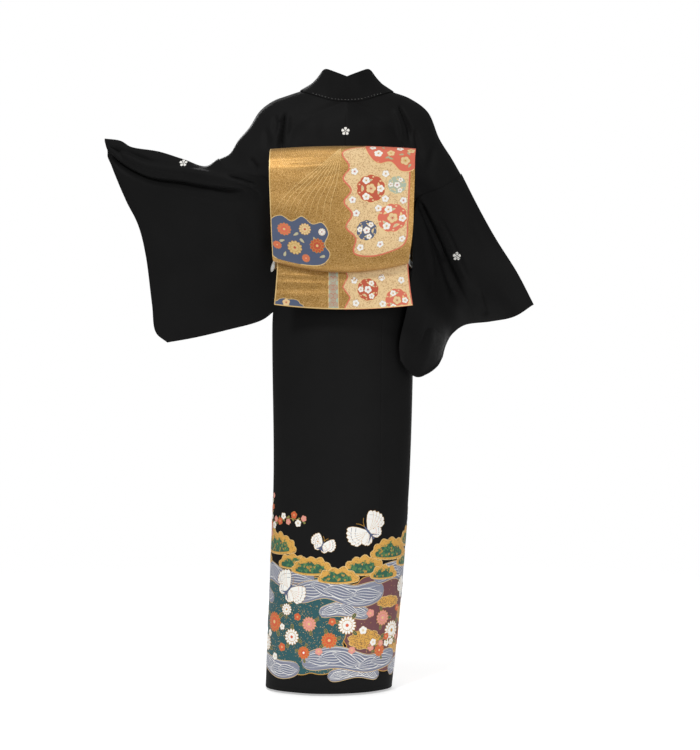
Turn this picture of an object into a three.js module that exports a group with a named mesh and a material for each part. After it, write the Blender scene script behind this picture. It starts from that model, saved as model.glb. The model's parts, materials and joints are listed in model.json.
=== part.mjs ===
// A formal black kimono as it is worn, with its obi tied in a drum knot behind.
// Millimetres, +Z up. The front faces -Y, the wearer's left is +X.
// The origin is the middle of the neck opening, at the height of the shoulders.
import * as THREE from 'three';

// ---------------------------------------------------------------- driving sizes
const CLOTH = 1.6; // a lined silk panel
const SEAM = 0.3; // space kept between pieces that are sewn or lie together
const PLY = 0.4; // air between two plies of one panel
const COLLAR = 2.4; // the collar is a folded band
const COVER = 1.0; // the over-collar on it
const COVER_AIR = 0.8; // between the two, so that their facets stay apart
const OBI = 3.0; // brocade, doubled
const STATIONS = 40; // columns round the body, shared by all that lies on it
const HEM = -1305;
const TUCK = -455; // fold of the waist tuck
const TUCK_RETURN = -402; // how far the tuck comes back up inside
const SKIRT_TOP = -378; // where the skirt ends inside the tuck
const OBI_TOP = -235;
const OBI_FOOT = -390;
const NECK_CENTRE = -4; // the neck opening sits a little to the wearer's right
const LIFT_BODICE = 4.4; // outer face of the bodice off the figure
const LIFT_OVER = 10.2; // the same where left lies over right
const LIFT_OBI = 6.0; // inner face of the obi off the figure
const LIFT_OBI_FRONT = 13.4; // the same over the crossed fronts
const UNDER = -(CLOTH + PLY); // a skirt ply that lies inside another

// The figure inside: half-ellipses behind and in front at each height.
// centre and half are along X, back and front along Y, twist turns the columns.
const FIGURE = [
  { z: -20, centre: -4, half: 150, back: 84, front: 60, twist: 0 },
  { z: -60, centre: -3, half: 150, back: 99, front: 84, twist: 0 },
  { z: -100, centre: -2, half: 150, back: 108, front: 100, twist: 0 },
  { z: -150, centre: 0, half: 149, back: 113, front: 111, twist: 0 },
  { z: -232, centre: 0, half: 147, back: 110, front: 116, twist: 0 },
  { z: -310, centre: 0, half: 145, back: 107, front: 113, twist: 0 },
  { z: -390, centre: 1, half: 147, back: 111, front: 110, twist: 0 },
  { z: -455, centre: 3, half: 153, back: 119, front: 111, twist: 0 },
  { z: -520, centre: 4, half: 156, back: 122, front: 112, twist: 0.009 },
  { z: -843, centre: 7, half: 150, back: 118, front: 108, twist: 0.006 },
  { z: -1114, centre: 22, half: 145, back: 114, front: 105, twist: -0.008 },
  { z: -1305, centre: 36, half: 139, back: 110, front: 101, twist: -0.02 },
];

// Edges of the bodice at each height, as parts of a turn from the middle of the back.
const BODICE_EDGES = [
  { z: -455, back: 0.25, side: 0.25, seam: 0.475, edge: 0.6 },
  { z: -390, back: 0.25, side: 0.25, seam: 0.475, edge: 0.6 },
  { z: -345, back: 0.25, side: 0.25, seam: 0.475, edge: 0.583 },
  { z: -300, back: 0.25, side: 0.25, seam: 0.477, edge: 0.553 },
  { z: -265, back: 0.225, side: 0.272, seam: 0.481, edge: 0.53 },
  { z: -232, back: 0.19, side: 0.305, seam: 0.488, edge: 0.508 },
];

// Edges of the skirt's panels, as parts of a turn; each is a whole number of stations.
const SKIRT = { centreBack: -0.1, leftSide: 0.225, leftSeam: 0.5, leftEdge: 0.675,
  rightSide: -0.425, rightSeam: -0.7, rightEdge: -0.875 };
const SKIRT_ROWS = [SKIRT_TOP, TUCK_RETURN, TUCK + 3, -500, -620, -800, -980, -1150, HEM];

// The shoulder line of each side, from the neck to the top of the armhole.
const SHOULDER = {
  left: [
    { x: 96, y: 28, z: -3 },
    { x: 128, y: 18, z: -12 },
    { x: 158, y: 10, z: -22 },
    { x: 186, y: 5, z: -42 },
    { x: 211, y: 0, z: -79 },
    { x: 235, y: -5, z: -106 },
    { x: 254, y: -8, z: -135 },
    { x: 278, y: -10, z: -147 },
  ],
  right: [
    { x: -104, y: 28, z: -5 },
    { x: -142, y: 15, z: -17 },
    { x: -182, y: 8, z: -46 },
    { x: -208, y: 0, z: -104 },
    { x: -235, y: -5, z: -146 },
    { x: -255, y: -10, z: -180 },
  ],
};

// The armhole, from just under its top down to the armpit; back and front are Y.
const ARMHOLE = {
  left: [
    { x: 277, z: -152, back: 8, front: -26 },
    { x: 260, z: -174, back: 36, front: -52 },
    { x: 212, z: -188, back: 62, front: -74 },
    { x: 170, z: -200, back: 76, front: -86 },
    { x: 157, z: -226, back: 64, front: -72 },
  ],
  right: [
    { x: -249, z: -189, back: 8, front: -26 },
    { x: -236, z: -200, back: 26, front: -42 },
    { x: -200, z: -220, back: 48, front: -62 },
    { x: -164, z: -236, back: 70, front: -80 },
    { x: -154, z: -244, back: 62, front: -70 },
  ],
};

// The neckline from the nape to the shoulder; x is counted from the middle of the neck.
const NAPE = { x: 0, y: 89, z: -34 };
const NECKLINE = [
  { x: 31, y: 86, z: -31 },
  { x: 62, y: 75, z: -21 },
  { x: 86, y: 54, z: -11 },
];
// On from the shoulder: two places beside the neck, then the collar's line over the chest.
const NECK_FRONT = [
  { x: 104, y: -12, z: -13 },
  { x: 100, y: -44, z: -42 },
];
const CHEST_LINE = [
  { x: 81, z: -98 },
  { x: 48, z: -150 },
  { x: 16, z: -200 },
];

// The collar's folded edge: nape to shoulder, beside the neck, then over the chest.
const COLLAR_EDGE_BACK = [
  { x: 0, y: 102, z: 17 },
  { x: 23, y: 95, z: 27 },
  { x: 45, y: 66, z: 38 },
  { x: 57, y: 40, z: 31 },
  { x: 62, y: 18, z: 22 },
];
const COLLAR_EDGE_FRONT = [
  { x: 63, y: -20, z: 6 },
  { x: 54, y: -56, z: -32 },
];
const COLLAR_EDGE_CHEST = [
  { x: 31, z: -72 },
  { x: -2, z: -122 },
  { x: -34, z: -172 },
  { x: -53, z: -204 },
  { x: -79, z: -246 },
  { x: -96, z: -276 },
];

// Sleeves: each edge of the folded cloth, from the armhole outwards and downwards.
// top is the fold, foot the bottom seam, cuff the open mouth and then the outer seam,
// side the open edge below the armhole.
const SLEEVE = {
  left: {
    top: [
      { x: 307, y: -17, z: -163 },
      { x: 360, y: -43, z: -145 },
      { x: 416, y: -75, z: -125 },
      { x: 486, y: -114, z: -109 },
      { x: 510, y: -128, z: -94 },
      { x: 549, y: -149, z: -86 },
    ],
    side: {
      back: [{ x: 161, y: 12, z: -300 }, { x: 166.5, y: -20, z: -388 },
        { x: 158, y: -36, z: -432 }],
      front: [{ x: 164, y: -56, z: -300 }, { x: 165, y: -62, z: -390 },
        { x: 159, y: -58, z: -436 }],
    },
    foot: [
      { x: 158, y: -48, z: -480 },
      { x: 186, y: -56, z: -500 },
      { x: 267, y: -85, z: -522 },
      { x: 344, y: -115, z: -539 },
      { x: 404, y: -137, z: -549 },
    ],
    cuff: {
      back: [{ x: 532, y: -128, z: -139 }, { x: 500, y: -122, z: -221 },
        { x: 468, y: -130, z: -287 }, { x: 454, y: -147, z: -350 }],
      front: [{ x: 536, y: -170, z: -139 }, { x: 504, y: -180, z: -221 },
        { x: 470, y: -168, z: -287 }, { x: 454, y: -149, z: -350 }],
    },
    seam: [{ x: 440, y: -148, z: -462 }, { x: 431, y: -145, z: -526 }],
  },
  right: {
    top: [
      { x: -298, y: -15, z: -264 },
      { x: -334, y: -19, z: -328 },
      { x: -379, y: -24, z: -398 },
      { x: -416, y: -28, z: -468 },
    ],
    side: {
      back: [{ x: -149, y: 92, z: -310 }, { x: -151.5, y: 113, z: -395 },
        { x: -134, y: 94, z: -477 }, { x: -116, y: 98, z: -556 }],
      front: [{ x: -172, y: -20, z: -330 }, { x: -172, y: 20, z: -430 },
        { x: -150, y: 70, z: -520 }],
    },
    foot: [
      { x: -118, y: 100, z: -590 },
      { x: -130, y: 98, z: -608 },
      { x: -153, y: 80, z: -627 },
      { x: -176, y: 40, z: -622 },
      { x: -203, y: -20, z: -604 },
      { x: -217, y: -66, z: -583 },
    ],
    cuff: {
      back: [{ x: -381, y: -44, z: -491 }, { x: -330, y: -112, z: -501 },
        { x: -272, y: -158, z: -508 }],
      front: [{ x: -388, y: -84, z: -484 }, { x: -340, y: -150, z: -492 },
        { x: -274, y: -168, z: -506 }],
    },
    seam: [{ x: -244, y: -140, z: -528 }, { x: -226, y: -100, z: -556 }],
  },
};

// The obi's drum from inside to the lip: left and right are its edges along X,
// bow draws the edges in towards the body, sag lifts them.
const DRUM = [
  { y: 119.6, z: -262, left: 148, right: -142, bow: 0, sag: 0 },
  { y: 120, z: -190, left: 150, right: -146, bow: 0, sag: 0 },
  { y: 129, z: -156, left: 154, right: -148, bow: 2, sag: -3 },
  { y: 150, z: -140, left: 156, right: -150, bow: 6, sag: -5 },
  { y: 176, z: -145, left: 158, right: -149, bow: 10, sag: -4 },
  { y: 193, z: -166, left: 159, right: -147, bow: 13, sag: -2 },
  { y: 201, z: -210, left: 159, right: -146, bow: 14, sag: 0 },
  { y: 205, z: -270, left: 157, right: -144, bow: 15, sag: 4 },
  { y: 204, z: -330, left: 155, right: -142, bow: 15, sag: 12 },
  { y: 198, z: -380, left: 153, right: -137, bow: 13, sag: 22 },
  { y: 188, z: -403, left: 152, right: -134, bow: 11, sag: 24 },
  { y: 176, z: -408, left: 151, right: -133, bow: 9, sag: 24 },
  { y: 167.5, z: -398, left: 150, right: -133, bow: 8, sag: 22 },
  { y: 166, z: -370, left: 149, right: -133, bow: 8, sag: 12 },
  { y: 166, z: -322, left: 148, right: -133, bow: 8, sag: 0 },
];
const TAIL = [
  { y: 165.2, z: -320, left: 144, right: -133, bow: 8, sag: 0 },
  { y: 165.2, z: -370, left: 143, right: -133, bow: 8, sag: 4 },
  { y: 166, z: -410, left: 144, right: -134, bow: 9, sag: 8 },
  { y: 168, z: -450, left: 147, right: -138, bow: 11, sag: 8 },
  { y: 168, z: -485, left: 150, right: -143, bow: 12, sag: 10 },
];
const HAND = [
  { y: 173.2, z: -282, left: 143, right: -129, bow: 8, sag: 0 },
  { y: 173.2, z: -376, left: 143, right: -129, bow: 8, sag: 14 },
];
const BOW_SPAN = 150; // half width at which bow and sag are given in full

// The flat braid: through the drum from the wearer's left to the right, then round the body.
const CORD = { width: 12, thick: 5, air: 1.2, sideZ: -389, frontZ: -314, sections: 72 };
const CORD_IN_DRUM = [
  { x: 158.5, y: 108, z: -389 },
  { x: 159.5, y: 138, z: -387 },
  { x: 159, y: 158, z: -378 },
  { x: 147, y: 170, z: -366 },
  { x: 120, y: 173, z: -363 },
  { x: 60, y: 176, z: -362 },
  { x: 0, y: 178, z: -362 },
  { x: -60, y: 176, z: -362 },
  { x: -108, y: 175, z: -363 },
  { x: -131, y: 173.5, z: -366 },
  { x: -139, y: 166, z: -372 },
  { x: -140, y: 152, z: -381 },
  { x: -141.5, y: 134, z: -387 },
  { x: -145.5, y: 108, z: -389 },
];
const KNOT = { width: 30, height: 22, depth: 13 };

// ---------------------------------------------------------------- small helpers
const v3 = (p) => new THREE.Vector3(p.x, p.y, p.z);
const mix = (a, b, t) => a + (b - a) * t;
const clamp = (t) => Math.min(1, Math.max(0, t));
const ease = (from, to, at) => {
  const t = clamp((at - from) / (to - from));
  return t * t * (3 - 2 * t);
};
const span = (count) => Array.from({ length: count + 1 }, (_, i) => i / count);

// Reads a table at a key between its rows, smoothly.
function read(table, key, at) {
  const rows = table[0][key] < table[table.length - 1][key] ? table : [...table].reverse();
  const last = rows.length - 1;
  let i = rows.findIndex((row) => row[key] > at) - 1;
  if (i === -2) i = last - 1;
  i = Math.min(Math.max(i, 0), last - 1);
  const slope = (n, column) => {
    const a = rows[Math.max(n - 1, 0)];
    const b = rows[Math.min(n + 1, last)];
    return (b[column] - a[column]) / (b[key] - a[key]);
  };
  const width = rows[i + 1][key] - rows[i][key];
  const t = clamp((at - rows[i][key]) / width);
  const out = {};
  for (const column of Object.keys(rows[0])) {
    const p = rows[i][column];
    const q = rows[i + 1][column];
    const mp = slope(i, column) * width;
    const mq = slope(i + 1, column) * width;
    out[column] = p + mp * t + (3 * (q - p) - 2 * mp - mq) * t * t
      + (2 * (p - q) + mp + mq) * t * t * t;
  }
  return out;
}

const curve = (points) => new THREE.CatmullRomCurve3(points, false, 'centripetal');

// A point on the figure at height z, part of a turn f, lifted off it.
function around(z, f, lift) {
  const row = read(FIGURE, 'z', z);
  const angle = 2 * Math.PI * (f + row.twist);
  const depth = Math.cos(angle) > 0 ? row.back : row.front;
  const x = row.centre + (row.half + lift) * Math.sin(angle);
  return new THREE.Vector3(x, (depth + lift) * Math.cos(angle), z);
}

// The same by x: how far forward (-1) or back (1) the lifted figure reaches there.
function depthAt(x, z, lift, way) {
  const row = read(FIGURE, 'z', z);
  const reach = (way > 0 ? row.back : row.front) + lift;
  const part = (x - row.centre) / (row.half + lift);
  return way * reach * Math.sqrt(Math.max(0.05, 1 - part * part));
}

// A smooth patch through four edge curves: u goes along foot and top, v from foot to top.
function patch(foot, top, inner, outer) {
  const corner = [foot(0), foot(1), top(0), top(1)];
  return (u, v) => {
    const p = foot(u).multiplyScalar(1 - v).addScaledVector(top(u), v);
    p.addScaledVector(inner(v), 1 - u).addScaledVector(outer(v), u);
    p.addScaledVector(corner[0], -(1 - u) * (1 - v)).addScaledVector(corner[1], -u * (1 - v));
    return p.addScaledVector(corner[2], -(1 - u) * v).addScaledVector(corner[3], -u * v);
  };
}

// ---------------------------------------------------------------- walls from grids
// Moves a grid along its normals; where it bends, far enough to keep the wall's thickness.
function moved(grid, distance) {
  const rows = grid.length;
  const cols = grid[0].length;
  const facing = (i, j) => {
    const [a, b] = [grid[i][j], grid[i + 1][j + 1]];
    const [c, d] = [grid[i + 1][j], grid[i][j + 1]];
    return b.clone().sub(a).cross(d.clone().sub(c)).normalize();
  };
  return grid.map((line, i) => line.map((p, j) => {
    const around4 = [];
    for (const m of [i - 1, i]) {
      for (const n of [j - 1, j]) {
        if (m >= 0 && m < rows - 1 && n >= 0 && n < cols - 1) around4.push(facing(m, n));
      }
    }
    const normal = around4.reduce((sum, n) => sum.add(n), new THREE.Vector3()).normalize();
    const lean = around4.reduce((sum, n) => sum + n.dot(normal), 0) / around4.length;
    return p.clone().addScaledVector(normal, distance / Math.max(lean, 0.6));
  }));
}

// One closed wall between two grids of the same size; closed joins the last column to the first.
function wall(outer, inner, closed = false) {
  const rows = outer.length;
  const cols = outer[0].length;
  const points = [...outer.flat(), ...inner.flat()];
  const at = (layer, i, j) => layer * rows * cols + i * cols + (j % cols);
  const faces = [];
  const quad = (a, b, c, d) => faces.push([a, b, c], [a, c, d]);
  const lastCol = closed ? cols : cols - 1;
  for (let i = 0; i < rows - 1; i++) {
    for (let j = 0; j < lastCol; j++) {
      quad(at(0, i, j), at(0, i + 1, j), at(0, i + 1, j + 1), at(0, i, j + 1));
      quad(at(1, i, j), at(1, i, j + 1), at(1, i + 1, j + 1), at(1, i + 1, j));
    }
    if (!closed) {
      quad(at(0, i, 0), at(1, i, 0), at(1, i + 1, 0), at(0, i + 1, 0));
      quad(at(0, i, cols - 1), at(0, i + 1, cols - 1), at(1, i + 1, cols - 1), at(1, i, cols - 1));
    }
  }
  for (let j = 0; j < lastCol; j++) {
    quad(at(0, 0, j), at(0, 0, j + 1), at(1, 0, j + 1), at(1, 0, j));
    quad(at(0, rows - 1, j), at(1, rows - 1, j), at(1, rows - 1, j + 1), at(0, rows - 1, j + 1));
  }
  return solid(points, faces);
}

// A closed loop of closed sections.
function loop(sections) {
  const count = sections.length;
  const sides = sections[0].length;
  const at = (i, j) => (i % count) * sides + (j % sides);
  const faces = [];
  for (let i = 0; i < count; i++) {
    for (let j = 0; j < sides; j++) {
      faces.push([at(i, j), at(i + 1, j), at(i + 1, j + 1)]);
      faces.push([at(i, j), at(i + 1, j + 1), at(i, j + 1)]);
    }
  }
  return solid(sections.flat(), faces);
}

// Turns the faces outwards and makes the geometry.
function solid(points, faces) {
  let volume = 0;
  for (const [a, b, c] of faces) {
    volume += points[a].dot(points[b].clone().cross(points[c]));
  }
  const index = faces.flatMap(([a, b, c]) => (volume > 0 ? [a, b, c] : [a, c, b]));
  const geometry = new THREE.BufferGeometry();
  geometry.setAttribute('position', new THREE.Float32BufferAttribute(
    points.flatMap((p) => [p.x, p.y, p.z]), 3));
  geometry.setIndex(index);
  geometry.computeVertexNormals();
  return geometry;
}

// ---------------------------------------------------------------- finishes and assembly
const silk = new THREE.Color('#1b1b1d');
const gold = new THREE.Color('#b8923f');
const white = new THREE.Color('#f2efe8');
const kimono = new THREE.Group();

function add(name, geometry, colour, roughness = 0.7, metalness = 0) {
  const material = new THREE.MeshStandardMaterial({ color: colour, roughness, metalness });
  const mesh = new THREE.Mesh(geometry, material);
  mesh.name = name;
  kimono.add(mesh);
}

// ---------------------------------------------------------------- skirt
// The right side's plies go inside the left's before the left overlap's edge is reached.
const HALF_SEAM = SEAM / 2 / 860; // half a seam, as a part of a turn
const skirtLift = (f) => UNDER * ease(-0.225, -0.3, f);

function skirtPanel(one, other) {
  const [from, to] = [Math.min(one, other), Math.max(one, other)];
  const count = Math.round((to - from) * STATIONS);
  const turns = span(count).map((t) => mix(from, to, t));
  turns[0] += HALF_SEAM;
  turns[count] -= HALF_SEAM;
  const face = (drop) => SKIRT_ROWS.map((z) => turns.map((f) => around(z, f, skirtLift(f) - drop)));
  return wall(face(0), face(CLOTH));
}

add('skirt_back_left', skirtPanel(SKIRT.centreBack, SKIRT.leftSide), silk);
add('skirt_front_left', skirtPanel(SKIRT.leftSide, SKIRT.leftSeam), silk);
add('overlap_left_skirt', skirtPanel(SKIRT.leftSeam, SKIRT.leftEdge), silk);
add('skirt_back_right', skirtPanel(SKIRT.centreBack, SKIRT.rightSide), silk);
add('skirt_front_right', skirtPanel(SKIRT.rightSide, SKIRT.rightSeam), silk);
add('overlap_right_skirt', skirtPanel(SKIRT.rightSeam, SKIRT.rightEdge), silk);

// ---------------------------------------------------------------- bodice
// f is always counted from the middle of the back towards the panel's own side.
const RING_ROWS = [-265, -300, -345, TUCK_RETURN, TUCK + 3];
const TUCK_TURN = [
  { z: TUCK, face: -0.9, back: -CLOTH, turn: CLOTH },
  { z: TUCK, face: -2.7, back: -CLOTH - PLY, turn: CLOTH },
  { z: TUCK + 3, face: -2 * CLOTH - PLY, back: -CLOTH - PLY, turn: 0 },
  { z: TUCK_RETURN, face: -2 * CLOTH - PLY, back: -CLOTH - PLY, turn: 0 },
];
const ARMPIT_ROW = 0.3; // the patch row at which the armhole begins
const NAPE_ROW = 0.6; // the patch row at which the neckline begins
const TIP_ROW = 3; // the patch row at which the overlap's point meets the collar
const PATCH_ROWS = [0, 0.15, 0.3, 0.45, 0.6, 0.7, 0.8, 0.9, 1];
const COLUMNS = 8;
const OVERLAP_COLUMNS = 4;
const FOOT_Z = -232; // the lowest patch row, just above the obi

const sign = (side) => (side === 'left' ? 1 : -1);
const fromNeck = (side, x) => NECK_CENTRE + sign(side) * x;
const neckPoint = (side, p) => new THREE.Vector3(fromNeck(side, p.x), p.y, p.z);
const joined = (first, second, at) => (t) => (
  t < at ? first.getPointAt(t / at) : second.getPointAt((t - at) / (1 - at)));

// How far the outer face stands off the figure, left over right in front.
const overLift = (side, f) => (side === 'left'
  ? mix(LIFT_BODICE, LIFT_OVER, ease(0.3, 0.375, f)) : LIFT_BODICE);

function chestLift(side, x, z) {
  const { centre, half } = read(FIGURE, 'z', z);
  const f = 0.5 - Math.asin(clamp((sign(side) * (x - centre)) / half)) / (2 * Math.PI);
  return mix(2, overLift(side, f), ease(-50, -105, z));
}

function onChest(side, p) {
  const x = fromNeck(side, p.x);
  return new THREE.Vector3(x, depthAt(x, p.z, chestLift(side, x, p.z), -1), p.z);
}

// The patches above the obi: both start at the foot and end on the shoulder line.
function patches(side) {
  const ridge = curve(SHOULDER[side].map(v3));
  const top = (u) => ridge.getPointAt(u);
  const edges = BODICE_EDGES[BODICE_EDGES.length - 1];
  const foot = (from, to) => (u) => {
    const f = mix(from, to, u);
    return around(FOOT_Z, sign(side) * f, overLift(side, f));
  };
  const armhole = (way) => {
    const line = ARMHOLE[side].map((p) => new THREE.Vector3(p.x, p[way], p.z)).reverse();
    return curve([...line, top(1)]);
  };
  const slit = (start, arm) => curve([start, start.clone().lerp(arm.getPointAt(0), 0.5),
    arm.getPointAt(0)]);

  const backFoot = foot(0, edges.back);
  const nape = neckPoint(side, NAPE);
  const spine = curve([FOOT_Z, -170, -110, -64].map((z) => around(z, 0, LIFT_BODICE))
    .concat(nape));
  const neckline = curve([nape, ...NECKLINE.map((p) => neckPoint(side, p)), top(0)]);
  const armBack = armhole('back');
  const backOuter = joined(slit(backFoot(1), armBack), armBack, ARMPIT_ROW);
  const backFlat = patch(backFoot, top, joined(spine, neckline, NAPE_ROW), backOuter);
  const back = (u, v) => settle(backFlat(u, v), side, 1);

  const frontFoot = foot(edges.edge, edges.side);
  const line = [frontFoot(0), ...CHEST_LINE.map((p) => onChest(side, p)).reverse(),
    ...NECK_FRONT.map((p) => neckPoint(side, p)).reverse(), top(0)];
  const collarLine = curve(line);
  const armFront = armhole('front');
  const frontOuter = joined(slit(frontFoot(1), armFront), armFront, ARMPIT_ROW);
  const frontFlat = patch(frontFoot, top, (v) => collarLine.getPointAt(v), frontOuter);
  const front = (u, v) => settle(frontFlat(u, v), side, -1);
  return { back, front, armBack, armFront, top };
}

// Lays the middle of a patch on the figure, and leaves its edges where they are.
function settle(p, side, way) {
  const near = ease(118, 70, Math.abs(p.x)) * ease(-62, -95, p.z);
  const lift = way > 0 ? LIFT_BODICE : chestLift(side, p.x, p.z);
  p.y = mix(p.y, depthAt(p.x, p.z, lift, way), near);
  return p;
}

// Rows below the patch, on the figure, down to the tuck's fold and back up inside it.
function ringRows(side, from, to, count, startInset, endInset = 0) {
  const rows = [
    ...RING_ROWS.map((z) => ({ z, face: 0, back: -CLOTH, turn: 0 })),
    ...TUCK_TURN,
  ];
  const face = (key) => rows.map((row) => {
    const edges = read(BODICE_EDGES, 'z', row.z);
    const start = (from ? edges[from] : 0) + startInset;
    const z = key === 'back' ? row.z + row.turn : row.z;
    return span(count).map((t) => {
      const f = mix(start, edges[to] + endInset, t);
      return around(z, sign(side) * f, overLift(side, f) + row[key]);
    });
  });
  return { face: face('face'), back: face('back') };
}

const overlapShare = (k) => {
  const foot = BODICE_EDGES[BODICE_EDGES.length - 1];
  const share = (foot.edge - foot.seam) / (foot.edge - foot.side);
  return k > TIP_ROW ? 0 : mix(share, 0.03, k / TIP_ROW);
};

const shape = { left: patches('left'), right: patches('right') };
const inwards = (side) => -CLOTH * sign(side);

function bodice(side) {
  const { back, front } = shape[side];
  const backPatch = PATCH_ROWS.map((v) => span(COLUMNS).map((u) => back(u, v)));
  backPatch.forEach((row, k) => {
    if (PATCH_ROWS[k] <= NAPE_ROW) row[0].x += sign(side) * SEAM / 2;
  });
  const frontPatch = PATCH_ROWS.map((v, k) => span(COLUMNS).map((u) => {
    const start = overlapShare(k) + (k > TIP_ROW ? 0 : 0.0008);
    return front(mix(start, 1, u), v);
  }));
  const upper = [...backPatch, ...frontPatch.reverse().slice(1)];
  const under = moved(upper, inwards(side));
  PATCH_ROWS.forEach((v, k) => {
    if (v <= NAPE_ROW) under[k][0].x = upper[k][0].x;
  });
  const backRing = ringRows(side, null, 'back', COLUMNS, HALF_SEAM, -HALF_SEAM);
  const frontRing = ringRows(side, 'seam', 'side', COLUMNS, -HALF_SEAM, HALF_SEAM);
  const outer = [...[...backRing.face].reverse(), ...upper, ...frontRing.face];
  const inner = [...[...backRing.back].reverse(), ...under, ...frontRing.back];
  return wall(outer, inner);
}

function overlapTop(side) {
  const { front } = shape[side];
  const rows = PATCH_ROWS.slice(0, TIP_ROW + 1).map((v, k) => (
    span(OVERLAP_COLUMNS).map((u) => front(u * (overlapShare(k) - 0.0008), v))));
  rows.reverse();
  const upper = rows.map((row) => row.reverse());
  const ring = ringRows(side, 'seam', 'edge', OVERLAP_COLUMNS, HALF_SEAM);
  const outer = [...upper, ...ring.face];
  const inner = [...moved(upper, -inwards(side)), ...ring.back];
  return wall(outer, inner);
}

for (const side of ['left', 'right']) {
  add(`bodice_${side}`, bodice(side), silk);
  add(`overlap_${side}_top`, overlapTop(side), silk);
}

// ---------------------------------------------------------------- collar
// Sections run from the end of the left side, round the neck, to the end of the right side.
// Each starts at the panel's own edge point and reaches to the folded edge.
function collarSide(side) {
  const { back, front } = shape[side];
  const seam = PATCH_ROWS.filter((v) => v >= NAPE_ROW).map((v) => back(0, v));
  const backCount = seam.length;
  [...PATCH_ROWS].reverse().slice(1).forEach((v) => seam.push(front(0, v)));
  for (const z of RING_ROWS.slice(0, 2)) {
    const { edge } = read(BODICE_EDGES, 'z', z);
    seam.push(around(z, sign(side) * edge, overLift(side, edge)));
  }
  const backEdge = COLLAR_EDGE_BACK.map((p) => neckPoint(side, p));
  const frontEdge = curve([backEdge[backEdge.length - 1],
    ...COLLAR_EDGE_FRONT.map((p) => neckPoint(side, p)),
    ...COLLAR_EDGE_CHEST.map((p) => onChest(side, p))]);
  const reach = [0];
  for (let k = backCount; k < seam.length; k++) {
    reach.push(reach[reach.length - 1] + seam[k].distanceTo(seam[k - 1]));
  }
  const total = reach[reach.length - 1];
  const edge = [...backEdge, ...reach.slice(1).map((r) => frontEdge.getPointAt(r / total))];
  return seam.map((start, k) => ({ start, end: edge[k], chest: k > backCount + 2, side }));
}

const COLLAR_COLUMNS = 3;
const collarSections = [...collarSide('left').reverse(), ...collarSide('right').slice(1)];

const collarFace = collarSections.map(({ start, end, chest, side }) => {
  const first = SEAM / start.distanceTo(end);
  return span(COLLAR_COLUMNS).map((t) => {
    const p = start.clone().lerp(end, mix(first, 1, t));
    if (chest) p.y = depthAt(p.x, p.z, chestLift(side, p.x, p.z), -1);
    return p;
  });
});

const collarOuter = moved(collarFace, PLY);
const coverInner = moved(collarOuter, COVER_AIR);
add('collar', wall(collarOuter, moved(collarOuter, -COLLAR)), silk);
add('over_collar', wall(moved(coverInner, COVER), coverInner), silk);

// ---------------------------------------------------------------- sleeves
const SLEEVE_COLUMNS = 8;
const SIDE_ROWS = [0, 0.1, 0.2, 0.3, 0.4];
const ARM_START = 0.5; // the sleeve's row at which the armhole begins
const armRows = PATCH_ROWS.filter((v) => v >= ARMPIT_ROW)
  .map((v) => ARM_START + (1 - ARM_START) * (v - ARMPIT_ROW) / (1 - ARMPIT_ROW));
const SLEEVE_ROWS = [...SIDE_ROWS, ...armRows];

function sleeve(side) {
  const { armBack, armFront, top: ridge } = shape[side];
  const cut = SLEEVE[side];
  const topLine = curve([ridge(1), ...cut.top.map(v3)]);
  const footLine = curve(cut.foot.map(v3));
  const layer = (way, arm) => {
    const furi = curve([v3(cut.foot[0]), ...cut.side[way].map(v3).reverse(), arm.getPointAt(0)]);
    const mouth = curve([v3(cut.foot[cut.foot.length - 1]), ...cut.seam.map(v3).reverse(),
      ...cut.cuff[way].map(v3).reverse(), v3(cut.top[cut.top.length - 1])]);
    const face = patch((u) => footLine.getPointAt(u), (u) => topLine.getPointAt(u),
      joined(furi, arm, ARM_START), (v) => mouth.getPointAt(v));
    return SLEEVE_ROWS.map((v) => span(SLEEVE_COLUMNS).map((u) => face(u, v)));
  };
  const base = [...layer('back', armBack), ...layer('front', armFront).reverse().slice(1)];
  const out = sign(side);
  return wall(moved(base, out * (CLOTH + SEAM)), moved(base, out * SEAM));
}

add('sleeve_left', sleeve('left'), silk);
add('sleeve_right', sleeve('right'), silk);

// ---------------------------------------------------------------- obi
const obiLift = (f) => {
  const rise = f > 0.5 ? ease(0.3, 0.375, 1 - f) : ease(0.28, 0.36, f);
  return mix(LIFT_OBI, LIFT_OBI_FRONT, rise);
};

function obiBand() {
  const turns = span(STATIONS).slice(0, -1);
  const rows = [OBI_TOP, -285, -340, OBI_FOOT];
  const face = (thick) => rows.map((z) => turns.map((f) => around(z, f, obiLift(f) + thick)));
  return wall(face(OBI), face(0), true);
}

// A sheet that hangs behind: rows of its table, columns across from the left edge.
function hung(table, columns) {
  return table.map((row) => span(columns).map((t) => {
    const x = mix(row.left, row.right, t);
    const out = (x / BOW_SPAN) ** 2;
    return new THREE.Vector3(x, row.y - row.bow * out, row.z + row.sag * out);
  }));
}

add('obi_band', obiBand(), gold, 0.45, 0.3);
const drum = hung(DRUM, 8);
add('obi_drum', wall(drum, moved(drum, -OBI)), gold, 0.45, 0.3);
const tail = hung(TAIL, 8);
add('obi_tail', wall(tail, moved(tail, -OBI)), gold, 0.45, 0.3);
const hand = hung(HAND, 6);
add('obi_hand', wall(hand, moved(hand, -OBI)), gold, 0.45, 0.3);

// ---------------------------------------------------------------- the braid that holds the drum
// Its middle line, closed: through the drum, down to the side, up to the front and back.
function cordLine() {
  const off = OBI + CORD.air + CORD.thick / 2;
  const turns = span(12).map((t) => mix(0.25, 0.75, t));
  const round = turns.map((f) => {
    const rise = Math.sin(Math.PI * (f - 0.25) / 0.5);
    return around(mix(CORD.sideZ, CORD.frontZ, rise), f, obiLift(f) + off);
  });
  const points = [...CORD_IN_DRUM.map(v3).reverse(), ...round];
  return new THREE.CatmullRomCurve3(points, true, 'centripetal');
}

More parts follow.
